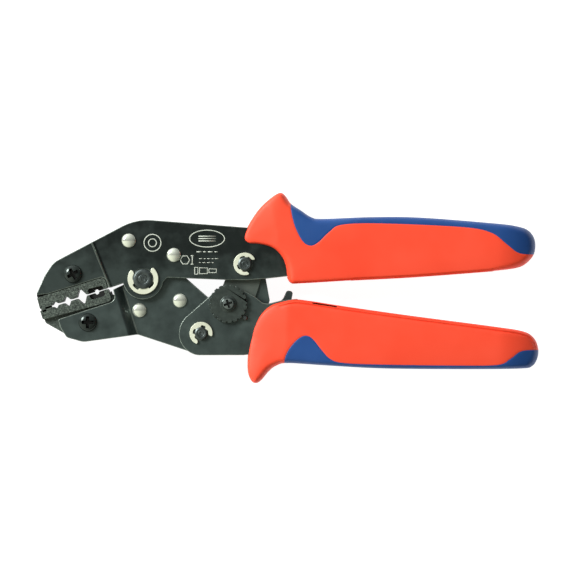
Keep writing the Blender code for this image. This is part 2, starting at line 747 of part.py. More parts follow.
UPPER_GRIP = (
    (38.0, 16.0), (39.7, 13.5), (43.6, 13.3), (47.7, 12.5), (50.6, 10.8), (52.7, 8.0), (53.9, 4.7),
    (54.4, 1.2), (56.0, -1.5), (60.0, -1.65), (79.0, -0.5), (103.0, 0.7), (131.3, 2.8), (141.4, 4.1),
    (145.6, 6.0), (148.6, 9.8), (148.8, 14.8), (146.4, 18.4), (142.0, 20.0), (133.5, 21.1),
    (105.2, 23.3), (86.5, 23.5), (68.3, 22.8), (63.9, 23.4), (59.7, 26.1), (56.0, 28.6), (54.1, 31.4),
    (52.2, 32.7), (49.4, 31.4), (44.5, 27.1), (40.6, 21.6))
UPPER_INLAY = (
    (56.1, 31.0), (56.1, 26.1), (57.6, 19.9), (60.4, 14.4), (63.3, 12.6), (66.3, 13.7), (70.6, 17.8),
    (75.4, 20.5), (89.9, 21.0), (120.5, 19.65), (131.8, 17.5), (137.9, 13.0), (142.7, 9.7), (149.8, 9.3))
LOWER_GRIP = (
    (46.2, -11.6), (43.7, -14.5), (41.7, -18.6), (40.6, -22.7), (39.7, -29.0), (39.7, -35.0),
    (41.0, -38.6), (42.9, -39.5), (44.9, -38.3), (47.8, -34.9), (50.7, -32.8), (55.0, -31.9),
    (69.7, -32.8), (90.3, -33.9), (120.5, -34.2), (143.0, -34.0), (147.6, -33.2), (149.8, -30.3),
    (150.2, -26.3), (148.2, -22.2), (144.0, -19.8), (133.5, -18.1), (101.3, -13.9), (77.9, -10.6),
    (63.0, -8.3), (57.5, -7.8), (52.5, -8.7), (49.1, -9.7))
LOWER_INLAY = (
    (53.3, -35.0), (54.0, -29.3), (57.0, -24.4), (60.7, -21.6), (63.9, -22.3), (67.6, -26.8),
    (71.0, -30.3), (76.0, -31.8), (89.9, -32.4), (120.5, -32.8), (134.5, -32.5), (139.2, -30.2),
    (143.6, -27.3), (151.5, -26.9))


def envelope(name, knots):
    """A grip's whole outer shape with softened rims."""
    body = prism(name, [smooth(knots, 2, closed=True)], -GRIP_HALF, GRIP_HALF)
    bm = bmesh.new()
    bm.from_mesh(body.data)
    bmesh.ops.dissolve_limit(bm, angle_limit=math.radians(1), verts=bm.verts, edges=bm.edges)
    bm.to_mesh(body.data)
    bm.free()
    soften = body.modifiers.new("Soften", "BEVEL")
    soften.width = GRIP_EDGE * MM
    soften.segments = 2
    soften.limit_method = "ANGLE"
    soften.use_clamp_overlap = False
    soften.angle_limit = math.radians(50)
    return body


def grip_pair(word, knots, seam, far, tang, body, mouth):
    """A red grip and its blue inlay, both hollowed for the plates' tangs."""
    edge = smooth(seam, 2)
    region = edge + [(160, seam[-1][1]), (160, far), (seam[0][0], far)]
    if far < 0:
        region = region[::-1]
    pocket = grown(tang, POCKET)
    half = FRAME_OUT + POCKET
    low, high = mouth
    slot = [(low[0], low[1]), (high[0], low[1]), (high[0], high[1]), (low[0], high[1])]
    grip = envelope(word + "_grip", knots)
    cut(grip, prism("pocket", [pocket], -half, half))
    cut(grip, prism("mouth", [slot], -LINK_HALF - 0.4, LINK_HALF + 0.4))
    cut(grip, prism("seam", [grown(region, 0.06)], -2 * GRIP_HALF, 2 * GRIP_HALF))
    adopt(grip, word + "_grip", body, "red_grip")
    inlay = envelope(word + "_inlay", knots)
    cut(inlay, prism("pocket", [pocket], -half, half))
    combine(inlay, prism("region", [region], -2 * GRIP_HALF, 2 * GRIP_HALF), "INTERSECT")
    adopt(inlay, word + "_grip_inlay", body, "blue_inlay")


def grips():
    grip_pair("upper", UPPER_GRIP, UPPER_INLAY, 45, frame_outline(), "fixed_frame",
              ((50.0, -4.0), (59.5, 7.0)))
    grip_pair("lower", LOWER_GRIP, LOWER_INLAY, -50, handle_outline(), "moving_handle",
              ((44.0, -13.5), (58.2, -6.0)))


# ---------------------------------------------------------------- assembly

def stand_on_ground():
    """Move the root so that the tool's box is centred on the origin and stands on Z = 0."""
    bpy.context.view_layer.update()
    graph = bpy.context.evaluated_depsgraph_get()
    low = Vector((math.inf,) * 3)
    high = Vector((-math.inf,) * 3)
    for piece in TOOL.objects:
        if piece.type != "MESH":
            continue
        solid = piece.evaluated_get(graph)
        for vertex in solid.data.vertices:
            point = solid.matrix_world @ vertex.co
            low = Vector(map(min, low, point))
            high = Vector(map(max, high, point))
    BODIES["fixed_frame"].location = (-(low.x + high.x) / 2, -(low.y + high.y) / 2, -low.z)


clear_scene()
TOOL = bpy.data.collections.new("crimping_tool")
CUTTERS = bpy.data.collections.new("cutters")
bpy.context.scene.collection.children.link(TOOL)
bpy.context.scene.collection.children.link(CUTTERS)
MATERIALS = {
    "black_steel": make_material("black_steel", (0.045, 0.055, 0.052), 0.6, 0.45),
    "die_steel": make_material("die_steel", (0.05, 0.06, 0.055), 0.7, 0.55),
    "black_screw": make_material("black_screw", (0.02, 0.022, 0.022), 0.6, 0.35),
    "dark_steel": make_material("dark_steel", (0.12, 0.13, 0.13), 0.9, 0.35),
    "plain_steel": make_material("plain_steel", (0.45, 0.45, 0.44), 1.0, 0.35),
    "bright_steel": make_material("bright_steel", (0.75, 0.74, 0.68), 1.0, 0.25),
    "zinc_steel": make_material("zinc_steel", (0.78, 0.77, 0.68), 0.8, 0.35),
    "red_grip": make_material("red_grip", (1.0, 0.1, 0.05), 0.0, 0.45),
    "blue_inlay": make_material("blue_inlay", (0.02, 0.08, 0.36), 0.0, 0.5),
}
root = make_empty("fixed_frame", (0, 0))
BODIES = {"fixed_frame": root}
for body_name, pivot in (("moving_jaw", A), ("toggle_link", C)):
    BODIES[body_name] = make_empty(body_name + "_axis", pivot, root)
BODIES["moving_handle"] = make_empty("moving_handle_axis", B, root)
BODIES["adjuster"] = make_empty("adjuster_axis", D, root)
BODIES["release_pawl"] = make_empty("release_pawl_axis", PAWL_AXIS, root)

frame_plates()
jaw_plates()
upper_die()
lower_die()
die_screw("upper_die_screw", UPPER_SCREW, "fixed_frame", 30)
die_screw("lower_die_screw", LOWER_SCREW, "moving_jaw", 0)
rivets_and_sleeves()
pins_and_clips()
tang_pins()
return_spring()
toggle_link()
handle_plates()
adjuster()
release_pawl()
grips()
stand_on_ground()
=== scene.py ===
"""Looks of the crimping tool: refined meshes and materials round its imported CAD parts.

Outlines are in millimetres in the tool's own directions: X and Y from the main pivot,
Z from the mid-plane between the side plates.
"""

import math

import bmesh
import bpy
import numpy as np
from mathutils import Matrix, Vector
from mathutils.geometry import delaunay_2d_cdt

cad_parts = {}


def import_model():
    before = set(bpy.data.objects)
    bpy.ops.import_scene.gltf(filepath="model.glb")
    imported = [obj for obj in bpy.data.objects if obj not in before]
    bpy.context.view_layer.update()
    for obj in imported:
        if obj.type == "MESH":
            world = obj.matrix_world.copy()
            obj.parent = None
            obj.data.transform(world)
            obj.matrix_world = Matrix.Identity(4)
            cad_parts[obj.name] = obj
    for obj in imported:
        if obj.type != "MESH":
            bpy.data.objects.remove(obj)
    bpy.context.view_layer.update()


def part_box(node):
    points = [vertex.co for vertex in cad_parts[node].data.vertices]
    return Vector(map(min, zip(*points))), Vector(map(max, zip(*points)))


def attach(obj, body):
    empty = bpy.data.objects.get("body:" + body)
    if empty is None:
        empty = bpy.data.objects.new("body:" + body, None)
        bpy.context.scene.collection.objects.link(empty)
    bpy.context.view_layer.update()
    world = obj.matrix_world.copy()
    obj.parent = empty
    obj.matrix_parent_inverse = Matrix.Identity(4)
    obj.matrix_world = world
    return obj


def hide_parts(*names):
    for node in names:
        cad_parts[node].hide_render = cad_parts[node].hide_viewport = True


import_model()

MM = 0.001
MERGE = 0.000002          # points closer than this are one point

# Pivots of the linkage
A = (0.0, 0.0)
B = (22.0, -20.6)
C = (38.6, 5.7)
D = (32.3, -9.4)
PAWL_AXIS = (52.4, -14.8)

DIE_TILT = math.radians(17.3)
FOLD_TILT = math.radians(22.0)
JAW_REST = math.radians(0.95)         # how far the lower die is open at rest

# Thickness: distances from the mid-plane
PLATE = 2.0
JAW_IN = 1.7
FRAME_IN = 4.0
HEAD_IN = 5.2
FRAME_OUT = FRAME_IN + PLATE
HEAD_OUT = HEAD_IN + PLATE
LINK_HALF = 3.4
SECTOR_HALF = 2.7
DIE_HALF = 7.1
TANG_HALF = 5.1
GRIP_HALF = 9.0
GAP = 0.1                 # clearance between neighbouring pieces

# Folds of the plates: distances across the head, and the strip painted lighter along the bend, a painted
# highlight
FRAME_BEND = {"tilt": FOLD_TILT, "lines": (11.8, 12.9), "rise": HEAD_IN - FRAME_IN, "ease": 0.15,
              "fold_highlight": (12.5, 13.15), "steps": 9}
JAW_BEND = {"tilt": DIE_TILT, "lines": (8.4, 11.4), "rise": HEAD_IN - JAW_IN, "ease": 0.5,
            "fold_highlight": (8.0, 8.5), "steps": 15}

# Radii of the pins, screws and sleeves
MAIN_PIN = 3.75
HANDLE_PIN = 2.4
LINK_PIN = 2.6
RIVET = 1.6
SLEEVE = 2.7
DIE_SCREW = 1.9
TANG_PIN = 1.6
PAWL_PIN = 1.25
LOCK_PIN = 0.8
ANCHOR_PIN = 1.0
FRAME_RIVETS = ((-5.4, 14.55), (11.7, 9.1))
JAW_RIVETS = ((-1.4, -11.9), (13.95, -8.2))
UPPER_SCREW = (-26.5, 1.9)
LOWER_SCREW = (-20.9, -16.4)
UPPER_TANG_PIN = (74.0, 11.2)
LOWER_TANG_PIN = (76.0, -20.6)
LOCK_PLACE = (38.75, -14.75)
SPRING_ANCHOR = (70.0, -22.8)

DIE_BACK = 13.8
DIE_FRONT = 40.75
DIE_LINE = 0.7
DIE_TOP = 5.05
DIE_GAP = 0.06            # half of the gap between the dies

WHEEL_TIP = 7.3
WHEEL_ROOT = 6.7
WHEEL_NOTCHES = 20
SHAFT = 2.9
ECCENTRIC = 2.2
THROW = 0.3
LINK_BORE = 3.75
SECTOR_TIP = 15.0
SECTOR_ROOT = 13.9
SECTOR_TEETH = 15
SECTOR_SPAN = (-79.0, -7.0)
PAWL_GAP = 0.35


def middle_of(node):
    low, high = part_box(node)
    return (low + high) / 2


ORIGIN = Vector((*middle_of("main_pivot_pin").xy, middle_of("upper_grip").z))


def world(x, y, z):
    """A point of the tool as a place in the frame."""
    return ORIGIN + Vector((x, y, z)) * MM


# ---- plane geometry

def spot(centre, radius, degrees):
    a = math.radians(degrees)
    return (centre[0] + radius * math.cos(a), centre[1] + radius * math.sin(a))


def arc(centre, radius, start, end, steps):
    """Points on an arc, angles in degrees, both ends included."""
    return [spot(centre, radius, a) for a in np.linspace(start, end, steps + 1)]


def square(points):
    """Corners that stay sharp."""
    return [(x, y, 0) for x, y in points]


def hole(centre, radius, sides=48):
    return arc(centre, radius, 0, 360 * (1 - 1 / sides), sides - 1)


def bore(centre, pin, sides=48):
    """The hole round a pin."""
    return hole(centre, pin + GAP, sides)


def box(x0, x1, y0, y1):
    return [(x0, y0), (x1, y0), (x1, y1), (x0, y1)]


SHORTEST = 0.25           # shortest side of a rounded corner


def rounded(corners, step=6.0):
    """An outline from (x, y, radius) corners; a radius of 0 keeps the corner sharp."""
    points = []
    count = len(corners)
    for i, (x, y, radius) in enumerate(corners):
        here = Vector((x, y))
        if radius <= 0:
            points.append((x, y))
            continue
        back = (Vector(corners[i - 1][:2]) - here).normalized()
        ahead = (Vector(corners[(i + 1) % count][:2]) - here).normalized()
        half = back.angle(ahead) / 2
        centre = here + (back + ahead).normalized() * (radius / math.sin(half))
        first = here + back * (radius / math.tan(half)) - centre
        last = here + ahead * (radius / math.tan(half)) - centre
        turn = first.angle_signed(last)
        steps = max(2, round(min(abs(math.degrees(turn)) / step, abs(turn) * radius / SHORTEST)))
        for k in range(steps + 1):
            spoke = first.copy()
            spoke.rotate(Matrix.Rotation(-turn * k / steps, 2))
            points.append(tuple(centre + spoke))
    return points


def smooth(knots, pieces, closed=False):
    """Points on a smooth curve through the knots (Catmull-Rom), in any dimension."""
    ends = [knots[0]] + list(knots) + [knots[-1]]
    if closed:
        ends = [knots[-1]] + list(knots) + [knots[0], knots[1]]
    points = []
    for p0, p1, p2, p3 in zip(ends, ends[1:], ends[2:], ends[3:]):
        for k in range(pieces):
            t = k / pieces
            points.append(tuple(
                0.5 * (2 * b + (c - a) * t + (2 * a - 5 * b + 4 * c - d) * t * t
                       + (3 * b - a - 3 * c + d) * t ** 3)
                for a, b, c, d in zip(p0, p1, p2, p3)))
    return points if closed else points + [tuple(knots[-1])]


def evenly(points, step, closed=False):
    """A run of points taken again at even spacing, whatever they carry besides X and Y."""
    rows = np.array(list(points) + list(points[:1]) if closed else points, float)
    lengths = np.linalg.norm(np.diff(rows[:, :2], axis=0), axis=1)
    travel = np.concatenate([[0], np.cumsum(lengths)])
    count = max(3, round(travel[-1] / step))
    places = np.linspace(0, travel[-1], count + 1)
    if closed:
        places = places[:-1]
    return [tuple(float(np.interp(s, travel, column)) for column in rows.T) for s in places]


def head(u, v, turn=0.0):
    """A point given in the head's directions, turned about A."""
    a = DIE_TILT + turn
    return (-u * math.cos(a) - v * math.sin(a), -u * math.sin(a) + v * math.cos(a))


def at_head(corners, turn=0.0):
    """Corners for rounded(), from (u, v, radius) in the head's directions."""
    return [(*head(u, v, turn), radius) for u, v, radius in corners]


# ---- materials

def linear(colour):
    """A display colour out of 255 as the shader's linear colour."""
    shares = [c / 255 for c in colour]
    return (*(c / 12.92 if c <= 0.04045 else ((c + 0.055) / 1.055) ** 2.4 for c in shares), 1.0)


def feed(tree, node, inputs):
    """Link or set a node's inputs."""
    for name, value in inputs.items():
        if isinstance(value, bpy.types.NodeSocket):
            tree.links.new(value, node.inputs[name])
        else:
            node.inputs[name].default_value = value
    return node


def colour_ramp(tree, factor, stops):
    ramp = feed(tree, tree.nodes.new("ShaderNodeValToRGB"), {"Fac": factor})
    elements = ramp.color_ramp.elements
    while len(elements) < len(stops):
        elements.new(0.5)
    for element, (place, colour) in zip(elements, stops):
        element.position = place
        element.color = colour
    return ramp.outputs["Color"]


class Shader:
    """A Principled material fed by noise in object space, in millimetres."""

    def __init__(self, name, surface):
        self.material = bpy.data.materials.new(name)
        self.material.use_nodes = True
        self.material.diffuse_color = (0.2, 0.2, 0.2, 1)
        self.tree = self.material.node_tree
        self.surface = self.tree.nodes["Principled BSDF"]
        self.feed(surface)
        source = self.tree.nodes.new("ShaderNodeTexCoord").outputs["Object"]
        mapping = self.add("Mapping", {"Vector": source, "Scale": (1 / MM,) * 3})
        self.place = mapping.outputs["Vector"]

    def feed(self, inputs):
        feed(self.tree, self.surface, inputs)

    def add(self, kind, inputs):
        return feed(self.tree, self.tree.nodes.new("ShaderNode" + kind), inputs)

    def noise(self, scale, detail, roughness=0.55):
        """Noise with the given number of features per millimetre."""
        return self.add("TexNoise", {"Vector": self.place, "Scale": scale, "Detail": detail,
                                     "Roughness": roughness}).outputs["Fac"]

    def spread(self, factor, first, last, low, high):
        """A factor between first and last taken to low and high."""
        return self.add("MapRange", {"Value": factor, "From Min": first, "From Max": last,
                                     "To Min": low, "To Max": high})

    def faded(self, factor, direction, start, finish, amount):
        """A factor lowered by up to amount between two distances along a direction."""
        along = self.add("VectorMath", {0: self.place, 1: direction})
        along.operation = "DOT_PRODUCT"
        drop = self.spread(along.outputs["Value"], start, finish, 0.5 * amount, -0.5 * amount)
        drop.interpolation_type = "SMOOTHSTEP"
        total = self.add("Math", {0: factor, 1: drop.outputs["Result"]})
        total.operation = "ADD"
        return total.outputs["Value"]

    def rings(self, centre, per_mm):
        """Turning marks round a point."""
        flat = self.add("Mapping", {"Vector": self.place, "Location": tuple(-c for c in centre),
                                    "Scale": (1, 1, 0)})
        node = self.add("TexWave", {"Vector": flat.outputs["Vector"], "Scale": per_mm,
                                    "Distortion": 0.4})
        node.wave_type = "RINGS"
        node.rings_direction = "SPHERICAL"
        return node.outputs["Fac"]

    def colours(self, factor, *stops):
        """Base colour from (place, display colour) stops."""
        stops = [(place, linear(colour)) for place, colour in stops]
        self.feed({"Base Color": colour_ramp(self.tree, factor, stops)})

    def gloss(self, factor, rough, swing):
        """Roughness that wanders about a middle value."""
        spread = self.spread(factor, 0.3, 0.7, rough - swing, rough + swing)
        self.feed({"Roughness": spread.outputs["Result"]})

    def bumps(self, *layers):
        """Stacked bumps: (factor, height in millimetres)."""
        last = {}
        for factor, height in layers:
            bump = self.add("Bump", {"Height": factor, "Distance": height * MM, "Strength": 1.0, **last})
            last = {"Normal": bump.outputs["Normal"]}
        self.feed(last)


def steel(name, dark, light, metallic, rough, grain=0.004, grain_scale=2.5, fade=None):
    """Steel with broad mottling, fine grain and uneven gloss; it may darken along a direction, a painted
    shade.
    """
    s = Shader(name, {"Metallic": metallic})
    mottle = s.noise(0.12, 4)
    s.colours(s.faded(mottle, *fade) if fade else mottle, (0.3, dark), (0.7, light))
    s.gloss(s.noise(0.24, 4), rough, 0.06)
    s.bumps((s.noise(grain_scale, 3), grain))
    return s.material


def cast_steel(name, dark, mid, light):
    """The dies: a rough, etched face."""
    s = Shader(name, {"Metallic": 0.4})
    s.colours(s.noise(1.6, 6, 0.75), (0.36, dark), (0.5, mid), (0.68, light))
    s.gloss(s.noise(0.8, 4), 0.465, 0.085)
    s.bumps((s.noise(1.5, 6, 0.75), 0.14), (s.noise(6.0, 2), 0.012))
    return s.material


def turned_steel(name, centre, dark, light, rough, metallic=0.9, depth=0.02):
    """A round end face with turning marks round a point of the tool."""
    s = Shader(name, {"Metallic": metallic})
    s.colours(s.noise(0.5, 3), (0.3, dark), (0.7, light))
    s.gloss(s.noise(0.7, 3), rough, 0.05)
    s.bumps((s.rings((*(ORIGIN.xy / MM + Vector(centre)), 0), 0.55), depth))
    return s.material


def moulded(name, deep, mid, bright, rough):
    """Soft moulded plastic with a fine spark-eroded grain."""
    s = Shader(name, {"Metallic": 0.0, "Specular IOR Level": 0.3})
    s.colours(s.noise(0.05, 2), (0.3, deep), (0.5, mid), (0.7, bright))
    s.gloss(s.noise(0.25, 3), rough, 0.05)
    s.bumps((s.noise(4.0, 2, 0.5), 0.006), (s.noise(0.35, 2), 0.02))
    return s.material


def highlit_edge_steel(name, dark, light, rough):
    """Lighter rounded edges: a painted highlight along them, with wear where the black finish has rubbed
    through in places.
    """
    s = Shader(name, {"Metallic": 0.35})
    s.colours(s.noise(0.45, 5, 0.65), (0.36, dark), (0.62, light))
    s.gloss(s.noise(0.9, 3), rough, 0.08)
    s.bumps((s.noise(3.0, 2), 0.006))
    return s.material


# painted shade: the frame plates' colour darkens along this direction, standing in for their changing
# sheen
PAINTED_SHADE_FADE = ((0.05, 1.0, 0), 0, 14, 0.34)      # direction, two distances, amount
LOOKS = {
    "black_steel": steel("black_oxide", (61, 72, 71), (77, 90, 88), 0.55, 0.36),
    "frame_steel": steel("frame_oxide_with_painted_shade", (30, 38, 37), (60, 71, 69), 0.55, 0.36, fade=PAINTED_SHADE_FADE),
    "link_steel": steel("link_oxide", (82, 91, 86), (98, 108, 101), 0.5, 0.42),
    # lighter rounded edges: wear with a painted highlight
    "worn_and_highlit": highlit_edge_steel("worn_edge_highlight", (96, 107, 101), (128, 140, 132), 0.3),
    # painted highlight: the lighter strip along a plate's bend
    "fold_highlight": steel("painted_fold_highlight", (112, 124, 116), (140, 152, 144), 0.6, 0.34),
    "die_steel": cast_steel("die_oxide", (34, 40, 38), (66, 76, 70), (118, 130, 120)),
    "tang_steel": cast_steel("tang_oxide", (52, 60, 57), (70, 80, 75), (96, 107, 100)),
    # painted highlight with wear: bright rounded edges of the dies
    "die_edge_highlight": highlit_edge_steel("die_edge_highlight", (84, 95, 88), (170, 182, 172), 0.34),
    "black_screw": steel("screw_black", (44, 52, 50), (62, 71, 68), 0.6, 0.17),
    # painted shade: near black for the screws' cross recesses
    "recess": steel("recess_painted_shade", (14, 16, 16), (24, 27, 27), 0.4, 0.3),
    # painted highlight: lighter steel for screw heads and their edges
    "glint": steel("painted_screw_glint", (78, 87, 85), (126, 136, 132), 0.4, 0.2),
    "dark_steel": steel("oiled_steel", (66, 73, 73), (98, 106, 105), 0.8, 0.36),
    "plain_steel": steel("ground_steel", (138, 140, 138), (172, 174, 170), 0.95, 0.32),
    "bright_steel": steel("nickel", (232, 240, 226), (246, 252, 238), 0.72, 0.14, 0.001),
    "zinc_steel": steel("zinc", (216, 222, 200), (234, 239, 220), 0.3, 0.42, 0.004, 1.2),
    "red_grip": moulded("red_rubber", (249, 74, 46), (250, 78, 50), (252, 82, 55), 0.48),
    "blue_inlay": moulded("blue_rubber", (28, 68, 130), (32, 73, 137), (37, 79, 144), 0.45),
    # painted shade: near-black red for the walls of the grip's groove
    "groove": moulded("groove_painted_shade", (52, 16, 12), (60, 18, 13), (70, 20, 15), 0.6),
    # painted shade: near black for the dies' pockets, the tongue and its slot, and the upper die's tang
    "pocket": steel("pocket_painted_shade", (8, 9, 9), (16, 18, 17), 0.2, 0.6),
    "print": steel("print_grey", (186, 195, 184), (212, 219, 208), 0.0, 0.6),
    "etch": steel("etch_dark", (22, 27, 25), (40, 47, 43), 0.1, 0.7),
}


# ---- solids

def keep(name, mesh):
    piece = bpy.data.objects.new(name, mesh)
    bpy.context.scene.collection.objects.link(piece)
    return piece


def from_bmesh(name, bm):
    mesh = bpy.data.meshes.new(name)
    bmesh.ops.remove_doubles(bm, verts=bm.verts, dist=MERGE)
    bmesh.ops.recalc_face_normals(bm, faces=bm.faces)
    bm.to_mesh(mesh)
    bm.free()
    return keep(name, mesh)


def from_curve(name, curve, flatten=None):
    """A curve in tool millimetres as a closed mesh in the frame. Flatten is a level and the share
    of the height above it that is kept."""
    drawn = keep(name + "_curve", curve)
    bpy.context.view_layer.update()
    graph = bpy.context.evaluated_depsgraph_get()
    mesh = bpy.data.meshes.new_from_object(drawn.evaluated_get(graph))
    bpy.data.objects.remove(drawn)
    bm = bmesh.new()
    bm.from_mesh(mesh)
    bpy.data.meshes.remove(mesh)
    if flatten:
        level, share = flatten
        for vertex in bm.verts:
            vertex.co.z = level + (vertex.co.z - level) * share
    bmesh.ops.transform(bm, matrix=Matrix.Translation(ORIGIN) @ Matrix.Scale(MM, 4), verts=bm.verts)
    return from_bmesh(name, bm)


def add_line(curve, points, closed):
    line = curve.splines.new("POLY")
    line.points.add(len(points) - 1)
    for point, place in zip(line.points, points):
        point.co = (*place, 1)
    line.use_cyclic_u = closed


FLAT_ENOUGH = math.radians(0.5)   # faces this close to level become one


def prism(name, loops, low, high, edge=0.0):
    """A flat piece from closed outlines (the later ones are holes), low to high in Z.
    An edge width rounds its edges."""
    curve = bpy.data.curves.new(name, "CURVE")
    curve.dimensions = "2D"
    curve.fill_mode = "BOTH"
    curve.extrude = (high - low) / 2 - edge
    curve.bevel_depth = edge
    curve.bevel_resolution = 1
    curve.offset = -edge
    for loop in loops:
        add_line(curve, square(loop), True)
    solid = from_curve(name, curve)
    bm = bmesh.new()
    bm.from_mesh(solid.data)
    for vertex in bm.verts:
        vertex.co.z += (high + low) / 2 * MM
    bmesh.ops.dissolve_limit(bm, angle_limit=FLAT_ENOUGH, verts=bm.verts, edges=bm.edges)
    bm.to_mesh(solid.data)
    bm.free()
    return solid


def lathe(name, profile, centre, steps=64, ring=False):
    """A round piece from (radius, z) points; a ring's profile closes on itself."""
    bm = bmesh.new()
    place = world(*centre, 0)
    rows = [bm.verts.new((place.x + r * MM, place.y, place.z + z * MM)) for r, z in profile]
    edges = [bm.edges.new(pair) for pair in zip(rows, rows[1:])]
    if ring:
        edges.append(bm.edges.new((rows[-1], rows[0])))
    bmesh.ops.spin(bm, geom=rows + edges, cent=place, axis=(0, 0, 1), angle=2 * math.pi, steps=steps,
                   use_merge=True)
    return from_bmesh(name, bm)


def wire(name, points, thickness, flatten=None, closed=False):
    """A round wire along a run of points."""
    curve = bpy.data.curves.new(name, "CURVE")
    curve.dimensions = "3D"
    curve.bevel_depth = thickness / 2
    curve.bevel_resolution = 1 if flatten else 4
    curve.use_fill_caps = True
    add_line(curve, points, closed)
    return from_curve(name, curve, flatten)


def taper(piece, centre, share, low):
    """Narrow a cutter towards its lower end."""
    place = world(*centre, low)
    for vertex in piece.data.vertices:
        if abs(vertex.co.z - place.z) < 0.1 * MM:
            vertex.co.x = place.x + (vertex.co.x - place.x) * share
            vertex.co.y = place.y + (vertex.co.y - place.y) * share
    return piece


def applied(piece):
    """Turn a piece's modifiers into plain mesh."""
    bpy.context.view_layer.update()
    graph = bpy.context.evaluated_depsgraph_get()
    mesh = bpy.data.meshes.new_from_object(piece.evaluated_get(graph))
    piece.modifiers.clear()
    old, piece.data = piece.data, mesh
    bpy.data.meshes.remove(old)
    return piece


def combine(piece, other, operation):
    step = piece.modifiers.new(operation.title(), "BOOLEAN")
    step.operation = operation
    step.solver = "EXACT"
    step.object = other
    step.material_mode = "TRANSFER"
    applied(piece)
    bpy.data.objects.remove(other)
    return piece


def cut(piece, cutter, look=None):
    """Cut a piece; the new faces may take a look of their own."""
    if look:
        cutter.data.materials.clear()
        cutter.data.materials.append(LOOKS[look])
    return combine(piece, cutter, "DIFFERENCE")


def paint(piece, *looks):
    piece.data.materials.clear()
    for look in looks:
        piece.data.materials.append(LOOKS.get(look, look))
    return piece


def soften(piece, width, segments=2, angle=32, edge_look=-1):
    """Round the sharp edges and shade the piece smooth; the edges may take another look."""
    piece.data.shade_smooth()
    bevel = piece.modifiers.new("Edges", "BEVEL")
    bevel.width = width * MM
    bevel.segments = segments
    bevel.limit_method = "ANGLE"
    bevel.angle_limit = math.radians(angle)
    bevel.harden_normals = True
    bevel.miter_outer = "MITER_ARC"
    bevel.material = edge_look
    return piece


def crisp(piece, angle):
    """Smooth shading with sharp edges above an angle."""
    piece.data.shade_smooth()
    piece.data.set_sharp_from_angle(angle=math.radians(angle))
    return piece


def mount(piece, body, slot, *nodes):
    """Put a finished piece on its body, in place of its CAD nodes."""
    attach(piece, body)
    if nodes:
        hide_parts(*nodes)


def dress(piece, look, body, node):
    """Put a piece with one look on its body, in place of its CAD node."""
    mount(paint(piece, look), body, look, node)


# ---- side plates

PLATE_EDGE = 0.26
EDGE_NORMALS = (0.15, 0.97)       # how upright the normals of a rounded edge are
OUTWARD = 0.3             # least upright normal of a face that looks outwards


def fold(piece, side, tilt, lines, rise, ease, fold_highlight, steps):
    """Spread a plate outwards in a rounded joggle between two lines across the head.
    The outward faces of the strip between two distances take a lighter look, a painted highlight along
    the bend."""
    forwards = Vector((-math.cos(tilt), -math.sin(tilt), 0))
    lines = np.linspace(lines[0] - ease, lines[1] + ease, steps)
    t = (lines - lines[0]) / (lines[-1] - lines[0])
    heights = rise * (t * t * (3 - 2 * t))
    bm = bmesh.new()
    bm.from_mesh(piece.data)
    base = world(0, 0, 0)
    for line in (*lines, *fold_highlight):
        everything = list(bm.verts) + list(bm.edges) + list(bm.faces)
        bmesh.ops.bisect_plane(bm, geom=everything, plane_co=base + forwards * line * MM,
                               plane_no=forwards, dist=MERGE / 4)
    for vertex in bm.verts:
        along = (vertex.co - base).dot(forwards) / MM
        vertex.co.z += side * MM * float(np.interp(along, lines, heights))
    # painted highlight: outward faces in the strip take the lighter fold look
    for face in bm.faces:
        along = (face.calc_center_median() - base).dot(forwards) / MM
        if face.normal.z * side > OUTWARD and fold_highlight[0] < along < fold_highlight[1]:
            face.material_index = 2
    bm.to_mesh(piece.data)
    bm.free()


def plate_pair(word, body, look, loops, inner, bend=None, front_bores=()):
    """A body's front and back plate. Their rounded edges take a lighter look, wear with a painted
    highlight, and a bend folds them.
    """
    for end, side in (("front", 1), ("back", -1)):
        name = f"{word}_plate_{end}"
        low = inner if side > 0 else -inner - PLATE
        bores = [*loops, *front_bores] if side > 0 else loops
        plate = prism("body_" + name, bores, low, low + PLATE, PLATE_EDGE)
        paint(plate, look, "worn_and_highlit")
        # painted highlight with wear: the rounded edges take the lighter edge look
        for face in plate.data.polygons:
            if EDGE_NORMALS[0] < abs(face.normal.z) < EDGE_NORMALS[1]:
                face.material_index = 1
        if bend:
            plate.data.materials.append(LOOKS["fold_highlight"])
            fold(plate, side, **bend)
        plate.data.shade_smooth()
        plate.modifiers.new("Flat faces", "WEIGHTED_NORMAL").weight = 80
        mount(plate, body, "black_steel", name)


def frame_outline():
    corners = square(arc(A, 7.7, 191.5, 351, 36)) + [
        (9.2, 0.55, 1.4), (31.4, -0.35, 0), (39.6, -0.4, 14), (46.2, 0.1, 14), (57.0, 1.3, 4),
        (66.0, 4.9, 8), (122.0, 7.6, 3), (122.0, 15.2, 3), (62.0, 17.8, 6), (-2.7, 22.8, 20.7),
        (-34.1, 6.2, 9), (-37.3, 1.2, 5), (-40.55, -6.1, 0.3)]
    over, back = DIE_TOP + 0.25, DIE_BACK - 0.35
    return rounded(corners + at_head([(DIE_FRONT - 4.8, over, 0), (back, over, 2.0),
                                      (back, 0.72, 0.3), (12.95, 0.66, 0)]))


def jaw_outline():
    tail = arc(B, 8.0, -108.7, 62, 40)
    ear = arc(A, 7.8, 62, 195.8, 30)
    corners = at_head([(35.3, -5.05, 0.8)])
    corners += [(-31.2, -18.6, 3), (-28.9, -22.2, 2), (-22.6, -23.9, 6), (-2.1, -21.1, 2)]
    corners += square(tail) + [(22.9, -10.0, 2.5), (24.7, -7.1, 0.5), (16.4, 0.15, 3)] + square(ear)
    return rounded(corners + at_head([(12.0, -0.45, 0.3), (12.35, -4.75, 2.4)]))


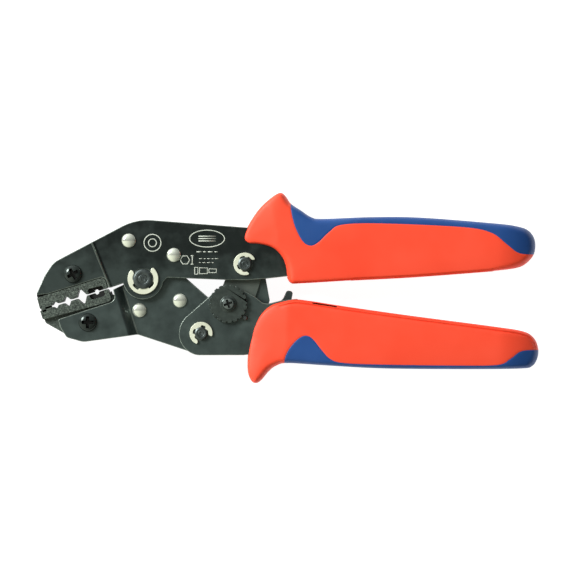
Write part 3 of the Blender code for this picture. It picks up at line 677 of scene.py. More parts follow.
def handle_outline():
    boss = arc(D, 6.9, 62, 138, 18)
    tail = arc(B, 8.4, 128.7, 262, 30)
    corners = [
        (38.0, -28.9, 0), (50.0, -27.6, 6), (128.0, -28.6, 3), (128.0, -21.6, 3), (62.0, -13.0, 3),
        (58.6, -7.5, 0.8), (52.5, -8.1, 4), (47.4, -9.4, 4), (45.4, -9.1, 2), (42.6, -6.9, 6),
        (38.7, -4.7, 4)]
    return rounded(corners + square(boss + tail))


def plates():
    loops = [frame_outline(), bore(A, MAIN_PIN, 64), bore(C, LINK_PIN), bore(UPPER_SCREW, DIE_SCREW),
             bore(UPPER_TANG_PIN, TANG_PIN, 24)]
    loops += [bore(place, RIVET) for place in FRAME_RIVETS]
    plate_pair("upper", "fixed_frame", "frame_steel", loops, FRAME_IN, FRAME_BEND)
    loops = [jaw_outline(), bore(A, MAIN_PIN, 64), bore(B, HANDLE_PIN), bore(LOWER_SCREW, DIE_SCREW)]
    loops += [bore(place, RIVET) for place in JAW_RIVETS]
    plate_pair("jaw", "moving_jaw", "black_steel", loops, JAW_IN, JAW_BEND)
    loops = [handle_outline(), bore(B, HANDLE_PIN), bore(D, SHAFT), bore(PAWL_AXIS, PAWL_PIN, 24),
             bore(LOWER_TANG_PIN, TANG_PIN, 24), bore(SPRING_ANCHOR, ANCHOR_PIN, 24)]
    plate_pair("handle", "moving_handle", "black_steel", loops, FRAME_IN,
               front_bores=[bore(LOCK_PLACE, LOCK_PIN, 24)])


# ---- dies

CAVITIES = (
    (18.3, ((-1.0, 0), (-0.65, 0.6), (0, 0.8), (0.65, 0.6), (1.0, 0))),
    (24.1, ((-1.95, 0), (-0.5, 2.4), (0.5, 2.4), (1.95, 0))),
    (29.9, ((-1.45, 0), (-0.45, 1.4), (0.45, 1.4), (1.45, 0))),
    (34.6, ((-1.2, 0), (-0.4, 0.85), (0.4, 0.85), (1.2, 0))),
)
NEST = (38.5, 40.0)       # the stepped nest at the nose
NEST_STEP = 0.8
POCKET = ((15.4, -1.6), (20.6, -1.5), (21.3, -0.4), (21.3, 2.55), (15.4, 2.3))
POCKET_DEEP = 1.8
POCKET_CORNER = 0.8
TONGUE = (36.4, 40.55)
TONGUE_DEEP = 1.6
TONGUE_ROOT = 1.2
TONGUE_HALF = 2.0
TONGUE_GAP = 0.3


def die_line(sign, step_gap):
    """The working edge from the back end to the nose; sign is +1 on the upper die."""
    level = DIE_LINE + sign * DIE_GAP
    points = []
    for place, corners in CAVITIES:
        points += [(place + du, level + sign * dv) for du, dv in corners]
    low = level - NEST_STEP
    first, last = NEST[0] + sign * step_gap, NEST[1] - sign * step_gap
    return points + [(first, level), (first, low), (last, low), (last, level)]


def tongue(turn, gap):
    """The locating tongue, or with a gap the slot that it enters in the other die; both are painted near
    black, a painted shade.
    """
    sides = TONGUE[0] - gap, TONGUE[1] + 4 * gap
    corners = [head(u, v, turn) for u, v in box(*sides, -TONGUE_DEEP - gap, TONGUE_ROOT)]
    return paint(prism("tongue", [corners], -TONGUE_HALF - gap, TONGUE_HALF + gap), "pocket")


def die(name, outline, tang, screw, turn, body, tang_look):
    """A die block on its tang, with the pocket sunk into both faces; the pocket's faces are painted near
    black, a painted shade.
    """
    block = prism("steel_" + name, [outline], -DIE_HALF, DIE_HALF)
    root = prism("tang", [tang, bore(screw, DIE_SCREW)], -TANG_HALF, TANG_HALF)
    combine(paint(block, "die_steel"), paint(root, tang_look), "UNION")
    if body == "fixed_frame":
        combine(block, tongue(turn, 0), "UNION")
    else:
        combine(block, tongue(turn, TONGUE_GAP), "DIFFERENCE")
    loop = rounded(at_head([(u, v, POCKET_CORNER) for u, v in POCKET], turn))
    # painted shade: the pocket's cut faces take the near-black pocket look
    for low in (DIE_HALF - POCKET_DEEP, -DIE_HALF - 1):
        cut(block, prism("pocket", [loop], low, low + POCKET_DEEP + 1), "pocket")
    # painted highlight: the die's rounded edges take a bright edge look
    block.data.materials.append(LOOKS["die_edge_highlight"])
    soften(block, 0.14, edge_look=len(block.data.materials) - 1)
    mount(block, body, "die_steel", name)


def dies():
    level = DIE_LINE + DIE_GAP
    outline = [(DIE_BACK, level, 0.6)] + square(die_line(1, GAP)) + [
        (DIE_FRONT - 0.1, level, 0), (DIE_FRONT - 0.25, DIE_TOP, 0.3), (DIE_BACK, DIE_TOP, 1.7)]
    tang = [(13.4, 0.95, 0), (13.5, 5.0, 0), (14.4, 9.5, 2), (19.0, 14.1, 2), (28.6, 14.1, 2),
            (32.5, 10.5, 3), (39.3, 7.6, 1), (40.45, 6.0, 0.3), (40.3, 4.4, 0), (17.0, 4.4, 0)]
    # the upper die's tang takes the near-black pocket look, a painted shade in the gap round the die
    die("upper_die", rounded(at_head(outline[::-1])), rounded(at_head(tang)), UPPER_SCREW, 0,
        "fixed_frame", "pocket")

    level = DIE_LINE - DIE_GAP
    outline = [(DIE_BACK, level, 0.6)] + square(die_line(-1, 0)) + [
        (DIE_FRONT + 0.1, level, 0), (DIE_FRONT + 0.1, -2.7, 0.4), (DIE_BACK, -4.25, 1.5)]
    tang = [(40.4, -2.3, 0), (40.3, -4.3, 0.5), (34.8, -10.3, 1), (31.5, -13.2, 2), (19.0, -13.2, 3),
            (15.2, -8.0, 2), (12.45, -4.0, 1), (12.45, -2.4, 0), (13.1, -1.8, 0), (13.1, -0.6, 0),
            (15.0, -3.5, 0)]
    die("lower_die", rounded(at_head(outline, JAW_REST)), rounded(at_head(tang, JAW_REST)),
        LOWER_SCREW, JAW_REST, "moving_jaw", "tang_steel")


# ---- screws, rivets and pins

def cross(centre, arm, wide, turn):
    """Outline of a cross recess."""
    half = wide / 2
    quarter = [Vector(corner) for corner in ((arm, -half), (arm, half), (half, half))]
    turns = [Matrix.Rotation(math.radians(turn + 90 * k), 2) for k in range(4)]
    return [tuple(Vector(centre) + step @ corner) for step in turns for corner in quarter]


def recess(piece, centre, arm, wide, turn, top, deep):
    """Sink a tapered cross recess into a screw head; its faces are painted near black, a painted shade.
    """
    tool = prism("recess", [cross(centre, arm, wide, turn)], top - deep, top + 0.3)
    return cut(piece, taper(tool, centre, 0.55, top - deep), "recess")


# Heads and ends as (radius, height) from the seat
PAN_HEAD = ((0, 1.7), (1.2, 1.66), (2.1, 1.48), (2.8, 1.15), (3.25, 0.72), (3.45, 0.3), (3.5, 0))
LOW_HEAD = ((0, 1.0), (1.0, 0.97), (1.95, 0.85), (2.5, 0.6), (2.5, 0))
RIVET_HEAD = [(2.7 * math.sin(a), 1.15 * math.cos(a)) for a in np.radians(np.linspace(0, 82, 9))]
RIVET_HEAD += [(2.7, 0)]
NUT_HALF = 3.4            # half the width across flats


def raised(profile, level):
    return [(radius, level + z) for radius, z in profile]


def pan_screw(name, place, body, turn):
    top = HEAD_OUT + GAP
    bottom = -GRIP_HALF + 0.15
    profile = raised(PAN_HEAD, top) + [(DIE_SCREW, top), (DIE_SCREW, bottom + 0.3),
                                       (DIE_SCREW - 0.3, bottom), (0, bottom)]
    screw = paint(lathe("steel_" + name, profile, place), "black_screw", "glint")
    recess(screw, place, 2.7, 1.45, turn, top + 1.7, 1.5)
    # painted highlight: the screw's rounded edges take the glint look
    soften(screw, 0.14, 2, 40, edge_look=1)
    mount(screw, body, "black_screw", name)
    flats = arc(place, NUT_HALF / math.cos(math.pi / 6), turn, turn + 300, 5)
    nut = prism(f"steel_{name}_nut", [flats, bore(place, DIE_SCREW)], -GRIP_HALF, -top)
    dress(soften(nut, 0.2), "black_screw", body, name + "_nut")


def rivet(name, place, body, face):
    end = raised(RIVET_HEAD, face + GAP) + [(RIVET, face + GAP)]
    piece = lathe("steel_" + name, end + [(radius, -z) for radius, z in end[::-1]], place)
    dress(crisp(piece, 60), "bright_steel", body, name)


def sleeve(name, place, body, pin, half):
    ring = box(pin + GAP, SLEEVE, half, -half)
    piece = lathe("steel_" + name, ring, place, 48, ring=True)
    dress(soften(piece, 0.12), "plain_steel", body, name)


def rivets_and_sleeves():
    for word, places, body, inner in (("upper", FRAME_RIVETS, "fixed_frame", FRAME_IN),
                                      ("jaw", JAW_RIVETS, "moving_jaw", JAW_IN)):
        for number, place in enumerate(places, 1):
            rivet(f"{word}_rivet_{number}", place, body, inner + PLATE)
            sleeve(f"{word}_sleeve_{number}", place, body, RIVET, inner - GAP)
    sleeve("upper_tang_sleeve", UPPER_TANG_PIN, "fixed_frame", TANG_PIN, FRAME_IN - GAP)
    sleeve("lower_tang_sleeve", LOWER_TANG_PIN, "moving_handle", TANG_PIN, FRAME_IN - GAP)


CLIP_LOW = FRAME_OUT + GAP
CLIP_THICK = 0.8
CLIP_RING = 1.3           # width of the ring
CLIP_LUG = 0.08           # gap between a lug and the groove
GROOVE_SHARE = 0.8        # radius of the groove, as a share of the pin's
# The pin's turned front end: radius as a share of the pin's, and depth below the end
PIN_END = ((0, 0.22), (0.16, 0.22), (0.2, 0.05), (0.42, 0.05), (0.46, 0.15), (0.52, 0.05), (0.78, 0),
           (1, 0.3))
PIN_HEAD = 1.5            # thickness of the head at the back


def clip_pin(name, place, radius, back_head, body):
    """A headed pin; its groove near the front end takes the clip, and its end is turned."""
    low = CLIP_LOW - 0.05
    high = CLIP_LOW + CLIP_THICK + 0.1
    end = high + 0.5
    back = -FRAME_OUT - PIN_HEAD
    neck = radius * GROOVE_SHARE
    profile = [(radius * share, end - depth) for share, depth in PIN_END]
    profile += [(radius, high), (neck, high), (neck, low), (radius, low), (radius, -CLIP_LOW),
                (back_head, -CLIP_LOW), (back_head, back + 0.2), (back_head - 0.2, back), (0, back)]
    pin = lathe("steel_" + name, profile, place)
    look = turned_steel(name + "_turned", place, (66, 74, 74), (98, 107, 106), 0.4)
    mount(paint(soften(pin, 0.05, 2, 25), look), body, "dark_steel", name)


def snap_clip(name, place, radius, outer, opening, width, body, slack):
    """An open ring with three lugs in the pin's groove; slack is the gap between pin and horns."""
    inner = outer - CLIP_RING
    lug = radius * GROOVE_SHARE + CLIP_LUG
    start = opening + width / 2
    end = start + 360 - width
    halfway = (start + end) / 2
    hold = radius + slack
    # The inner edge, from one end round to the other; angles are measured from the ends
    horn = [(outer - 0.3, 0), (hold + 0.7, 0.5), (hold + 0.1, 7)]
    inside = [spot(place, reach, end - turn) for reach, turn in horn]
    for reach, first, last, steps in (
            (hold, end - 10, end - 42, 10), (lug, end - 46, end - 60, 2),
            (inner, end - 68, halfway + 30, 10), (lug, halfway + 21, halfway - 21, 10),
            (inner, halfway - 30, start + 68, 10), (lug, start + 60, start + 46, 2),
            (hold, start + 42, start + 10, 10)):
        inside += arc(place, reach, first, last, steps)
    inside += [spot(place, reach, start + turn) for reach, turn in horn[::-1]]
    ring = arc(place, outer, start + 4, end - 4, 60)
    clip = prism("steel_" + name, [ring + inside], CLIP_LOW, CLIP_LOW + CLIP_THICK)
    dress(soften(clip, 0.14), "zinc_steel", body, name)


def pins_and_clips():
    clip_pin("main_pivot_pin", A, MAIN_PIN, 5.4, "fixed_frame")
    snap_clip("main_pivot_clip", A, MAIN_PIN, 5.8, 96, 92, "fixed_frame", 0.15)
    clip_pin("link_pin", C, LINK_PIN, 4.0, "fixed_frame")
    snap_clip("link_pin_clip", C, LINK_PIN, 4.3, -21, 90, "fixed_frame", 0.4)
    clip_pin("handle_pin", B, HANDLE_PIN, 3.9, "moving_handle")
    snap_clip("handle_pin_clip", B, HANDLE_PIN, 4.36, -63, 94, "moving_handle", 0.4)


PIN_CHAMFER = 0.2


def plain_pin(name, place, radius, low, high, body):
    rim = radius - PIN_CHAMFER
    profile = [(0, high), (rim, high), (radius, high - PIN_CHAMFER), (radius, low + PIN_CHAMFER),
               (rim, low), (0, low)]
    dress(crisp(lathe("steel_" + name, profile, place, 40), 30), "dark_steel", body, name)


def plain_pins():
    for name, place, radius, body in (
            ("upper_tang_pin", UPPER_TANG_PIN, TANG_PIN, "fixed_frame"),
            ("lower_tang_pin", LOWER_TANG_PIN, TANG_PIN, "moving_handle"),
            ("pawl_pin", PAWL_AXIS, PAWL_PIN, "moving_handle"),
            ("spring_anchor_pin", SPRING_ANCHOR, ANCHOR_PIN, "moving_handle")):
        plain_pin(name, place, radius, -FRAME_OUT, FRAME_OUT, body)
    plain_pin("adjuster_lock_pin", LOCK_PLACE, LOCK_PIN, FRAME_IN + 0.2, FRAME_OUT + 1.3,
              "moving_handle")


# ---- springs

SPRING_WIRE = 0.9
SPRING_COIL = 5.0
SPRING_HALF = 1.1
SPRING_CLEAR = 0.4        # gap between a leg and its sleeve
SPRING_PAST = 1.5


def return_spring():
    """A torsion spring round the main pin; its legs reach a frame sleeve and a jaw sleeve."""
    def leg(place, side):
        """A leg's direction, and the vector along it to just past the sleeve at a place."""
        distance = math.hypot(*place)
        lean = math.asin((SPRING_COIL - SLEEVE - SPRING_WIRE / 2 - SPRING_CLEAR) / distance)
        angle = math.atan2(place[1], place[0]) + side * lean
        length = distance * math.cos(lean) + SPRING_PAST
        return angle, Vector((length * math.cos(angle), length * math.sin(angle), 0))

    upper, upper_leg = leg(FRAME_RIVETS[1], -1)
    lower, lower_leg = leg(JAW_RIVETS[1], 1)
    start = lower - math.pi / 2
    finish = upper + math.pi / 2 - 6 * math.pi
    steps = 160
    coil = []
    for i in range(steps + 1):
        a = start + (finish - start) * i / steps
        z = -SPRING_HALF + 2 * SPRING_HALF * i / steps
        coil.append(Vector((SPRING_COIL * math.cos(a), SPRING_COIL * math.sin(a), z)))
    finish_wire("return_spring", [coil[0] + lower_leg, *coil, coil[-1] + upper_leg], SPRING_WIRE,
                "fixed_frame")


def pawl_spring():
    """An extension spring from behind the pawl's tail to the anchor pin."""
    start = Vector((57.0, -19.2, 0))
    finish = Vector((*SPRING_ANCHOR, 0)) - Vector((2.2, -0.5, 0))
    along = (finish - start).normalized()
    across = Vector((-along.y, along.x, 0))
    turns, per_turn, radius = 11, 16, 1.4
    points = [tuple(start)]
    for i in range(turns * per_turn + 1):
        share = (i + 10) / (turns * per_turn + 20)
        a = 2 * math.pi * i / per_turn
        offset = across * (radius * math.cos(a)) + Vector((0, 0, radius * math.sin(a)))
        points.append(tuple(start.lerp(finish, share) + offset))
    points.append(tuple(finish))
    finish_wire("pawl_spring", points, 0.5, "moving_handle")


def finish_wire(name, points, thickness, body):
    dress(crisp(wire("steel_" + name, points, thickness), 50), "plain_steel", body, name)


# ---- toggle link

# Edge of the step where the link thins to its toothed sector
SECTOR_EDGE = ((44.9, 1.5), (44.5, -0.8), (42.6, -6.65), (38.0, -13.0), (30.0, -20.0))


def toggle_link():
    teeth = []
    first, last = SECTOR_SPAN
    pitch = (last - first) / SECTOR_TEETH
    for i in range(SECTOR_TEETH):
        a = first + i * pitch
        teeth += arc(D, SECTOR_ROOT, a, a + 0.1 * pitch, 1)
        teeth += arc(D, SECTOR_TIP, a + 0.45 * pitch, a + 0.65 * pitch, 1)
    corners = square(teeth) + [(48.0, -8.1, 0.4), (46.4, 0.6, 0), (44.8, 8.0, 3)]
    corners += square(arc(C, 5.2, 60, 170, 20)) + [(31.05, -0.3, 2), (30.0, -3.0, 1)]
    corners += square(arc(D, 5.7, 140, 265, 24)) + [(34.0, -21.0, 0)]
    loops = [rounded(corners), bore(C, LINK_PIN), hole(D, LINK_BORE)]
    link = paint(prism("body_toggle_link", loops, -LINK_HALF, LINK_HALF), "link_steel")
    loop = list(SECTOR_EDGE) + [(30.0, -30.0), (60.0, -30.0), (60.0, 1.5)]
    # painted shade: the step's cut faces take the darker black steel look
    for low in (SECTOR_HALF, -LINK_HALF - 1):
        cut(link, prism("step", [loop], low, low + LINK_HALF + 1 - SECTOR_HALF), "black_steel")
    soften(link, 0.12)
    mount(link, "toggle_link", "black_steel", "toggle_link")


# ---- adjuster

WHEEL_LOW = FRAME_OUT + GAP
WHEEL_HIGH = WHEEL_LOW + 1.5
WASHER = 3.1
HUB = 1.3                 # radius of the adjuster's screw
GLINT = 1.75              # how far out the screw's head takes the glint look, a painted highlight
FLANGE = 4.8


def adjuster():
    look = turned_steel("wheel_turned", D, (58, 67, 64), (72, 82, 78), 0.36, 0.55)
    outline = []
    pitch = 360 / WHEEL_NOTCHES
    for i in range(WHEEL_NOTCHES):
        outline += arc(D, WHEEL_TIP, i * pitch, (i + 0.62) * pitch, 5)
        outline += arc(D, WHEEL_ROOT, (i + 0.72) * pitch, (i + 0.9) * pitch, 2)
    wheel = prism("steel_adjuster_wheel", [outline, bore(D, HUB, 32)], WHEEL_LOW, WHEEL_HIGH)
    soften(paint(wheel, look), 0.2)
    mount(wheel, "adjuster", "black_steel", "adjuster_wheel")
    inside = HUB + GAP
    ring = raised([(inside, GAP), (WASHER, GAP), (WASHER, 0.4), (WASHER - 0.2, 0.55), (inside, 0.55)],
                  WHEEL_HIGH)
    washer = lathe("steel_adjuster_washer", ring, D, ring=True)
    mount(paint(soften(washer, 0.05), look), "adjuster", "black_steel", "adjuster_washer")

    top = WHEEL_HIGH + 0.65
    profile = raised(LOW_HEAD, top) + [(HUB, top), (HUB, 4.1), (0, 4.1)]
    screw = paint(lathe("steel_adjuster_screw", profile, D, 48), "black_screw", "glint")
    # painted highlight: the head's upward faces near the middle take the glint look
    for face in screw.data.polygons:
        if face.normal.z > OUTWARD and (face.center - world(*D, 0)).xy.length < GLINT * MM:
            face.material_index = 1
    recess(screw, D, 2.0, 1.0, 20, top + 1.0, 0.85)
    mount(soften(screw, 0.1, 2, 40, edge_look=1), "adjuster", "dark_steel", "adjuster_screw")

    journal = LINK_HALF + 0.25
    back = -FRAME_OUT - GAP
    flange = [(0, -journal), (SHAFT, -journal), (SHAFT, back), (FLANGE, back), (FLANGE, back - 1.0),
              (FLANGE - 0.2, back - 1.2), (0, back - 1.2)]
    shaft = lathe("steel_adjuster_shaft", flange, D, 48)
    core = lathe("eccentric", box(0, ECCENTRIC, journal + 0.2, -journal - 0.2), (D[0] + THROW, D[1]), 48)
    front = lathe("front", box(inside, SHAFT, FRAME_OUT, journal), D, 48, ring=True)
    combine(shaft, core, "UNION")
    combine(shaft, front, "UNION")
    slot = box(D[0] - 3, D[0] + 3, D[1] - 0.5, D[1] + 0.5)
    cut(shaft, prism("slot", [slot], back - 2, back - 0.5))
    dress(soften(shaft, 0.06, 2, 35), "dark_steel", "adjuster", "adjuster_shaft")


# ---- release pawl

PAWL_HALF = 2.0


def release_pawl():
    toward = Vector((D[0] - PAWL_AXIS[0], D[1] - PAWL_AXIS[1]))
    nose = toward.length - SECTOR_TIP - PAWL_GAP
    tip = Vector(PAWL_AXIS) + toward.normalized() * nose
    corners = [
        (tip.x, tip.y, 0), (tip.x + 1.2, tip.y - 1.2, 0), (50.2, -17.0, 1), (52.6, -18.6, 1.5),
        (55.2, -17.4, 1.5), (55.3, -12.0, 1), (56.2, -8.4, 1), (56.9, -4.7, 1.0), (54.5, -4.3, 1.0),
        (53.1, -7.4, 2), (50.4, -9.9, 1), (tip.x + 1.4, tip.y + 0.7, 0)]
    pawl = prism("body_release_pawl", [rounded(corners), bore(PAWL_AXIS, PAWL_PIN, 32)], -PAWL_HALF,
                 PAWL_HALF)
    # the pawl's rounded edges take the lighter edge look: wear with a painted highlight
    soften(paint(pawl, "black_steel", "worn_and_highlit"), 0.25, 3, edge_look=1)
    mount(pawl, "release_pawl", "black_steel", "release_pawl")


# ---- grips

# Knots are (x, y, rim width, lip): the rim is how wide the rounding is, the lip is 1 where
# a moulded lip runs along the edge.
UPPER_GRIP = (
    (38.0, 16.0, 1.2, 0), (39.7, 13.5, 1.2, 0), (43.6, 13.3, 1.2, 0), (47.7, 12.5, 1.2, 0),
    (50.6, 10.8, 1.6, 0), (52.7, 8.0, 2.4, 0), (53.9, 4.7, 2.6, 0), (54.4, 1.2, 2.6, 0),
    (56.0, -1.5, 1.6, 0), (60.0, -1.65, 1.3, 0), (78.8, -0.55, 1.3, 0), (79.6, -0.6, 1.3, 1),
    (103.0, 0.6, 1.3, 1), (131.4, 2.75, 1.4, 1), (132.4, 2.95, 1.5, 0), (141.4, 4.1, 2.4, 0),
    (145.6, 6.0, 2.6, 0), (148.6, 9.8, 2.6, 0), (148.8, 14.8, 2.6, 0), (146.4, 18.4, 2.6, 0),
    (142.0, 20.0, 2.4, 0), (133.5, 21.1, 2.0, 0), (105.2, 23.3, 1.8, 0), (86.5, 23.5, 1.8, 0),
    (68.3, 22.8, 1.8, 0), (63.9, 23.4, 1.8, 0), (59.7, 26.1, 1.8, 0), (56.0, 28.6, 2.2, 0),
    (54.1, 31.4, 2.2, 0), (52.2, 32.7, 1.6, 0), (49.4, 31.4, 1.2, 0), (44.5, 27.1, 1.2, 0),
    (40.6, 21.6, 1.2, 0))
UPPER_INLAY = (
    (56.1, 31.0), (56.1, 26.1), (57.6, 19.9), (60.4, 14.4), (63.3, 12.6), (66.3, 13.7), (70.6, 17.8),
    (75.4, 20.5), (89.9, 21.0), (120.5, 19.65), (131.8, 17.5), (137.9, 13.0), (142.7, 9.7), (149.8, 9.3))
UPPER_CREASE = ((53.4, 36.0), (49.6, 27.4), (50.9, 20.0), (51.5, 14.8), (49.5, 9.0))
LOWER_GRIP = (
    (46.2, -11.6, 1.2, 0), (43.7, -14.5, 1.2, 0), (41.7, -18.6, 1.2, 0), (40.6, -22.7, 1.2, 0),
    (39.7, -29.0, 1.2, 0), (39.7, -35.0, 1.2, 0), (41.0, -38.6, 1.5, 0), (42.9, -39.5, 1.8, 0),
    (44.9, -38.3, 2.4, 0), (47.8, -34.9, 2.6, 0), (50.7, -32.8, 2.2, 0), (55.0, -31.9, 1.8, 0),
    (69.7, -32.8, 1.6, 0), (90.3, -33.9, 1.6, 0), (120.5, -34.2, 1.6, 0), (143.0, -34.0, 1.8, 0),
    (147.6, -33.2, 2.2, 0), (149.74, -30.3, 2.4, 0), (150.12, -26.3, 2.2, 0.6), (148.2, -22.2, 1.6, 1),
    (144.0, -19.8, 1.3, 1), (133.5, -18.1, 1.2, 1), (101.3, -13.9, 1.2, 1), (77.9, -10.6, 1.2, 1),
    (63.0, -8.3, 1.2, 1), (57.5, -7.8, 1.2, 1), (52.5, -8.7, 1.2, 0.6), (49.1, -9.7, 1.2, 0))
LOWER_INLAY = (
    (53.3, -35.0), (54.0, -29.3), (57.0, -24.4), (60.7, -21.6), (63.9, -22.3), (67.6, -26.8),
    (71.0, -30.3), (76.0, -31.8), (89.9, -32.4), (120.5, -32.8), (134.5, -32.5), (139.2, -30.2),
    (143.6, -27.3), (151.5, -26.9))
LOWER_CREASE = ((55.2, -4.0), (54.9, -16.0), (54.6, -25.0), (52.6, -30.0), (48.6, -34.0), (44.0, -42.0))

PARTING = ((64.2, -9.35), (73.4, -10.75), (73.4, -10.25), (64.2, -8.85))

RIM_SLOPE = 1.7           # how tall the rounding is for its width
CROWN = 0.55              # how much the face falls towards the rim, and from how far inside
CROWN_REACH = 9.0
FLARE = 0.17              # fall per millimetre beyond the crease
SEAM_DEEP = 0.12
SEAM_WIDE = 0.22
LIP_WIDE = 0.26
END_START = 134.0         # where the grips start to thin towards their ends
END_FALL = 0.016

# Where the inner points lie
RING_ANGLES = (18, 32, 46, 60, 75, 90)
LIP_ROWS = (-0.5, -0.25, 0, 0.25, 0.5)
SEAM_ROWS = (-0.8, -0.45, -0.2, 0.2, 0.45, 0.8)
CREASE_ROWS = (-1.2, 0.0, 1.2)
PITCH = 1.1               # spacing of the grid
GRID_CLEAR = 0.4          # gap between the grid and the rings
SEAM_CLEAR = 1.2


def to_line(points, line, closed=False):
    """Each point's distance from a run of points, and where along the run it is nearest."""
    line = np.array(line, float)[:, :2]
    starts = line if closed else line[:-1]
    ends = np.roll(line, -1, 0) if closed else line[1:]
    run = ends - starts
    apart = points[:, None, :] - starts[None]
    t = np.clip((apart * run).sum(2) / np.maximum((run * run).sum(1), 1e-12), 0, 1)
    gap = np.linalg.norm(apart - t[..., None] * run, axis=2)
    nearest = gap.argmin(1)
    rows = np.arange(len(points))
    return gap[rows, nearest], nearest + t[rows, nearest]


def within(points, loop):
    """Which points lie inside a closed loop."""
    loop = np.array(loop, float)[:, :2]
    result = np.zeros(len(points), bool)
    for (x0, y0), (x1, y1) in zip(loop, np.roll(loop, -1, 0)):
        if y0 == y1:
            continue
        crosses = (y0 > points[:, 1]) != (y1 > points[:, 1])
        reach = x0 + (points[:, 1] - y0) / (y1 - y0) * (x1 - x0)
        result ^= crosses & (points[:, 0] < reach)
    return result


def sideways(line, closed=False):
    """The normal on the left of each point of a run."""
    run = np.roll(line, -1, 0) - np.roll(line, 1, 0) if closed else np.gradient(line, axis=0)
    run /= np.linalg.norm(run, axis=1)[:, None]
    return np.stack([-run[:, 1], run[:, 0]], 1)


class Grip:
    """The moulded form of one grip as a height above the mid-plane."""

    def __init__(self, knots, seam, crease, far, lip_place, lip_deep):
        self.lip_place = lip_place
        self.lip_deep = lip_deep
        self.outline = evenly(smooth(knots, 16, closed=True), 0.75, closed=True)
        self.seam = evenly(smooth(seam, 16), 0.6)
        self.crease = evenly(smooth(crease, 16), 1.0)
        self.flare = self.crease + [(20, crease[-1][1]), (20, crease[0][1])]
        self.region = self.seam + [(170, seam[-1][1]), (170, far), (seam[0][0], far)]

    def knot_value(self, where, column):
        """A value that the knots carry, at places along the outline."""
        values = np.array(self.outline)[:, column]
        return np.interp(where, np.arange(len(values) + 1), np.append(values, values[0]))

    def height(self, points):
        edge, where = to_line(points, self.outline, closed=True)
        rim = self.knot_value(where, 2)
        share = np.clip(edge / rim, 0, 1)
        fall = rim * RIM_SLOPE * (1 - np.sqrt(1 - (1 - share) ** 2))
        fall += CROWN * (1 - np.clip(edge / CROWN_REACH, 0, 1)) ** 2
        beyond, _ = to_line(points, self.crease)
        beyond = np.where(within(points, self.flare), beyond, 0)
        fall += FLARE * (np.sqrt(beyond ** 2 + 0.25) - 0.5)
        fall += END_FALL * np.clip(points[:, 0] - END_START, 0, None) ** 2
        seam, _ = to_line(points, self.seam)
        fall += SEAM_DEEP * np.exp(-(seam / SEAM_WIDE) ** 2) * np.clip(edge / 0.6, 0, 1)
        lip = self.knot_value(where, 3) * self.lip_deep
        fall += lip * np.exp(-((edge - self.lip_place) / LIP_WIDE) ** 2)
        return GRIP_HALF - fall

    def inner(self, row, margin):
        row = row[within(row, self.outline)]
        edge, _ = to_line(row, self.outline, closed=True)
        return row[edge > margin]

    def points(self):
        """Inner points: rings inside the rim, rows beside the lip, seam and crease, and a grid."""
        outline = np.array(self.outline)
        line, rim, lip = outline[:, :2], outline[:, 2:3], outline[:, 3]
        across = sideways(line, closed=True)
        found = []
        for angle in np.radians(RING_ANGLES):
            depth = rim * (1 - math.cos(angle))
            ring = line + across * depth
            edge, _ = to_line(ring, self.outline, closed=True)
            found.append(ring[edge > depth[:, 0] * 0.93])
        found += [(line + across * (self.lip_place + offset))[lip > 0.3] for offset in LIP_ROWS]
        for run, offsets, margin in ((self.seam, SEAM_ROWS, 0.25), (self.crease, CREASE_ROWS, 2.0)):
            run = np.array(run)
            found += [self.inner(run + sideways(run) * offset, margin) for offset in offsets]
        low, high = line.min(0), line.max(0)
        grid = []
        for j, y in enumerate(np.arange(low[1], high[1], PITCH * 0.87)):
            shift = PITCH / 2 if j % 2 else 0
            grid += [(x + shift, y) for x in np.arange(low[0], high[0], PITCH)]
        grid = np.array(grid)
        grid = grid[within(grid, self.outline)]
        edge, where = to_line(grid, self.outline, closed=True)
        nearest = np.maximum(self.knot_value(where, 2), self.lip_place + LIP_ROWS[-1]) + GRID_CLEAR
        seam, _ = to_line(grid, self.seam)
        return np.vstack(found + [grid[(edge > nearest) & (seam > SEAM_CLEAR)]])

    def shells(self):
        """The red and the blue part as closed shells: (vertices, faces) each."""
        line = [p[:2] for p in self.outline]
        n, m = len(line), len(self.seam)
        vertices = [Vector(v) for v in (*line, *self.seam, *self.points())]
        edges = [(i, (i + 1) % n) for i in range(n)] + [(n + i, n + i + 1) for i in range(m - 1)]
        flat, _, faces, _, _, _ = delaunay_2d_cdt(vertices, edges, [], 0, 1e-4)
        flat = np.array([tuple(v) for v in flat])
        faces = np.array([f for f in faces if len(f) == 3])
        centres = flat[faces].mean(1)
        solid = within(centres, self.outline)
        blue = within(centres, self.region)
        height = self.height(flat)
        return [shell(flat, height, faces[solid & part]) for part in (~blue, blue)]


def shell(flat, height, faces):
    """Front and back faces of a region, joined by walls along its border."""
    used = np.unique(faces)
    place = {old: new for new, old in enumerate(used)}
    count = len(used)
    front = [tuple(world(*flat[i], height[i])) for i in used]
    back = [tuple(world(*flat[i], -height[i])) for i in used]
    result, edges = [], {}
    for a, b, c in ([place[i] for i in face] for face in faces):
        result += [(a, b, c), (c + count, b + count, a + count)]
        edges.update(dict.fromkeys(((a, b), (b, c), (c, a))))
    result += [(b, a, a + count, b + count) for a, b in edges if (b, a) not in edges]
    return front + back, result


def grown(outline, by):
    """The outline moved outwards by a small distance; it runs anticlockwise."""
    points = []
    count = len(outline)
    for i in range(count):
        here = Vector(outline[i])
        into = (here - Vector(outline[i - 1])).normalized()
        out = (Vector(outline[(i + 1) % count]) - here).normalized()
        normal = Vector((into.y + out.y, -into.x - out.x)).normalized()
        stretch = max(0.5, normal.dot(Vector((into.y, -into.x))))
        points.append(tuple(here + normal * (by / stretch)))
    return points


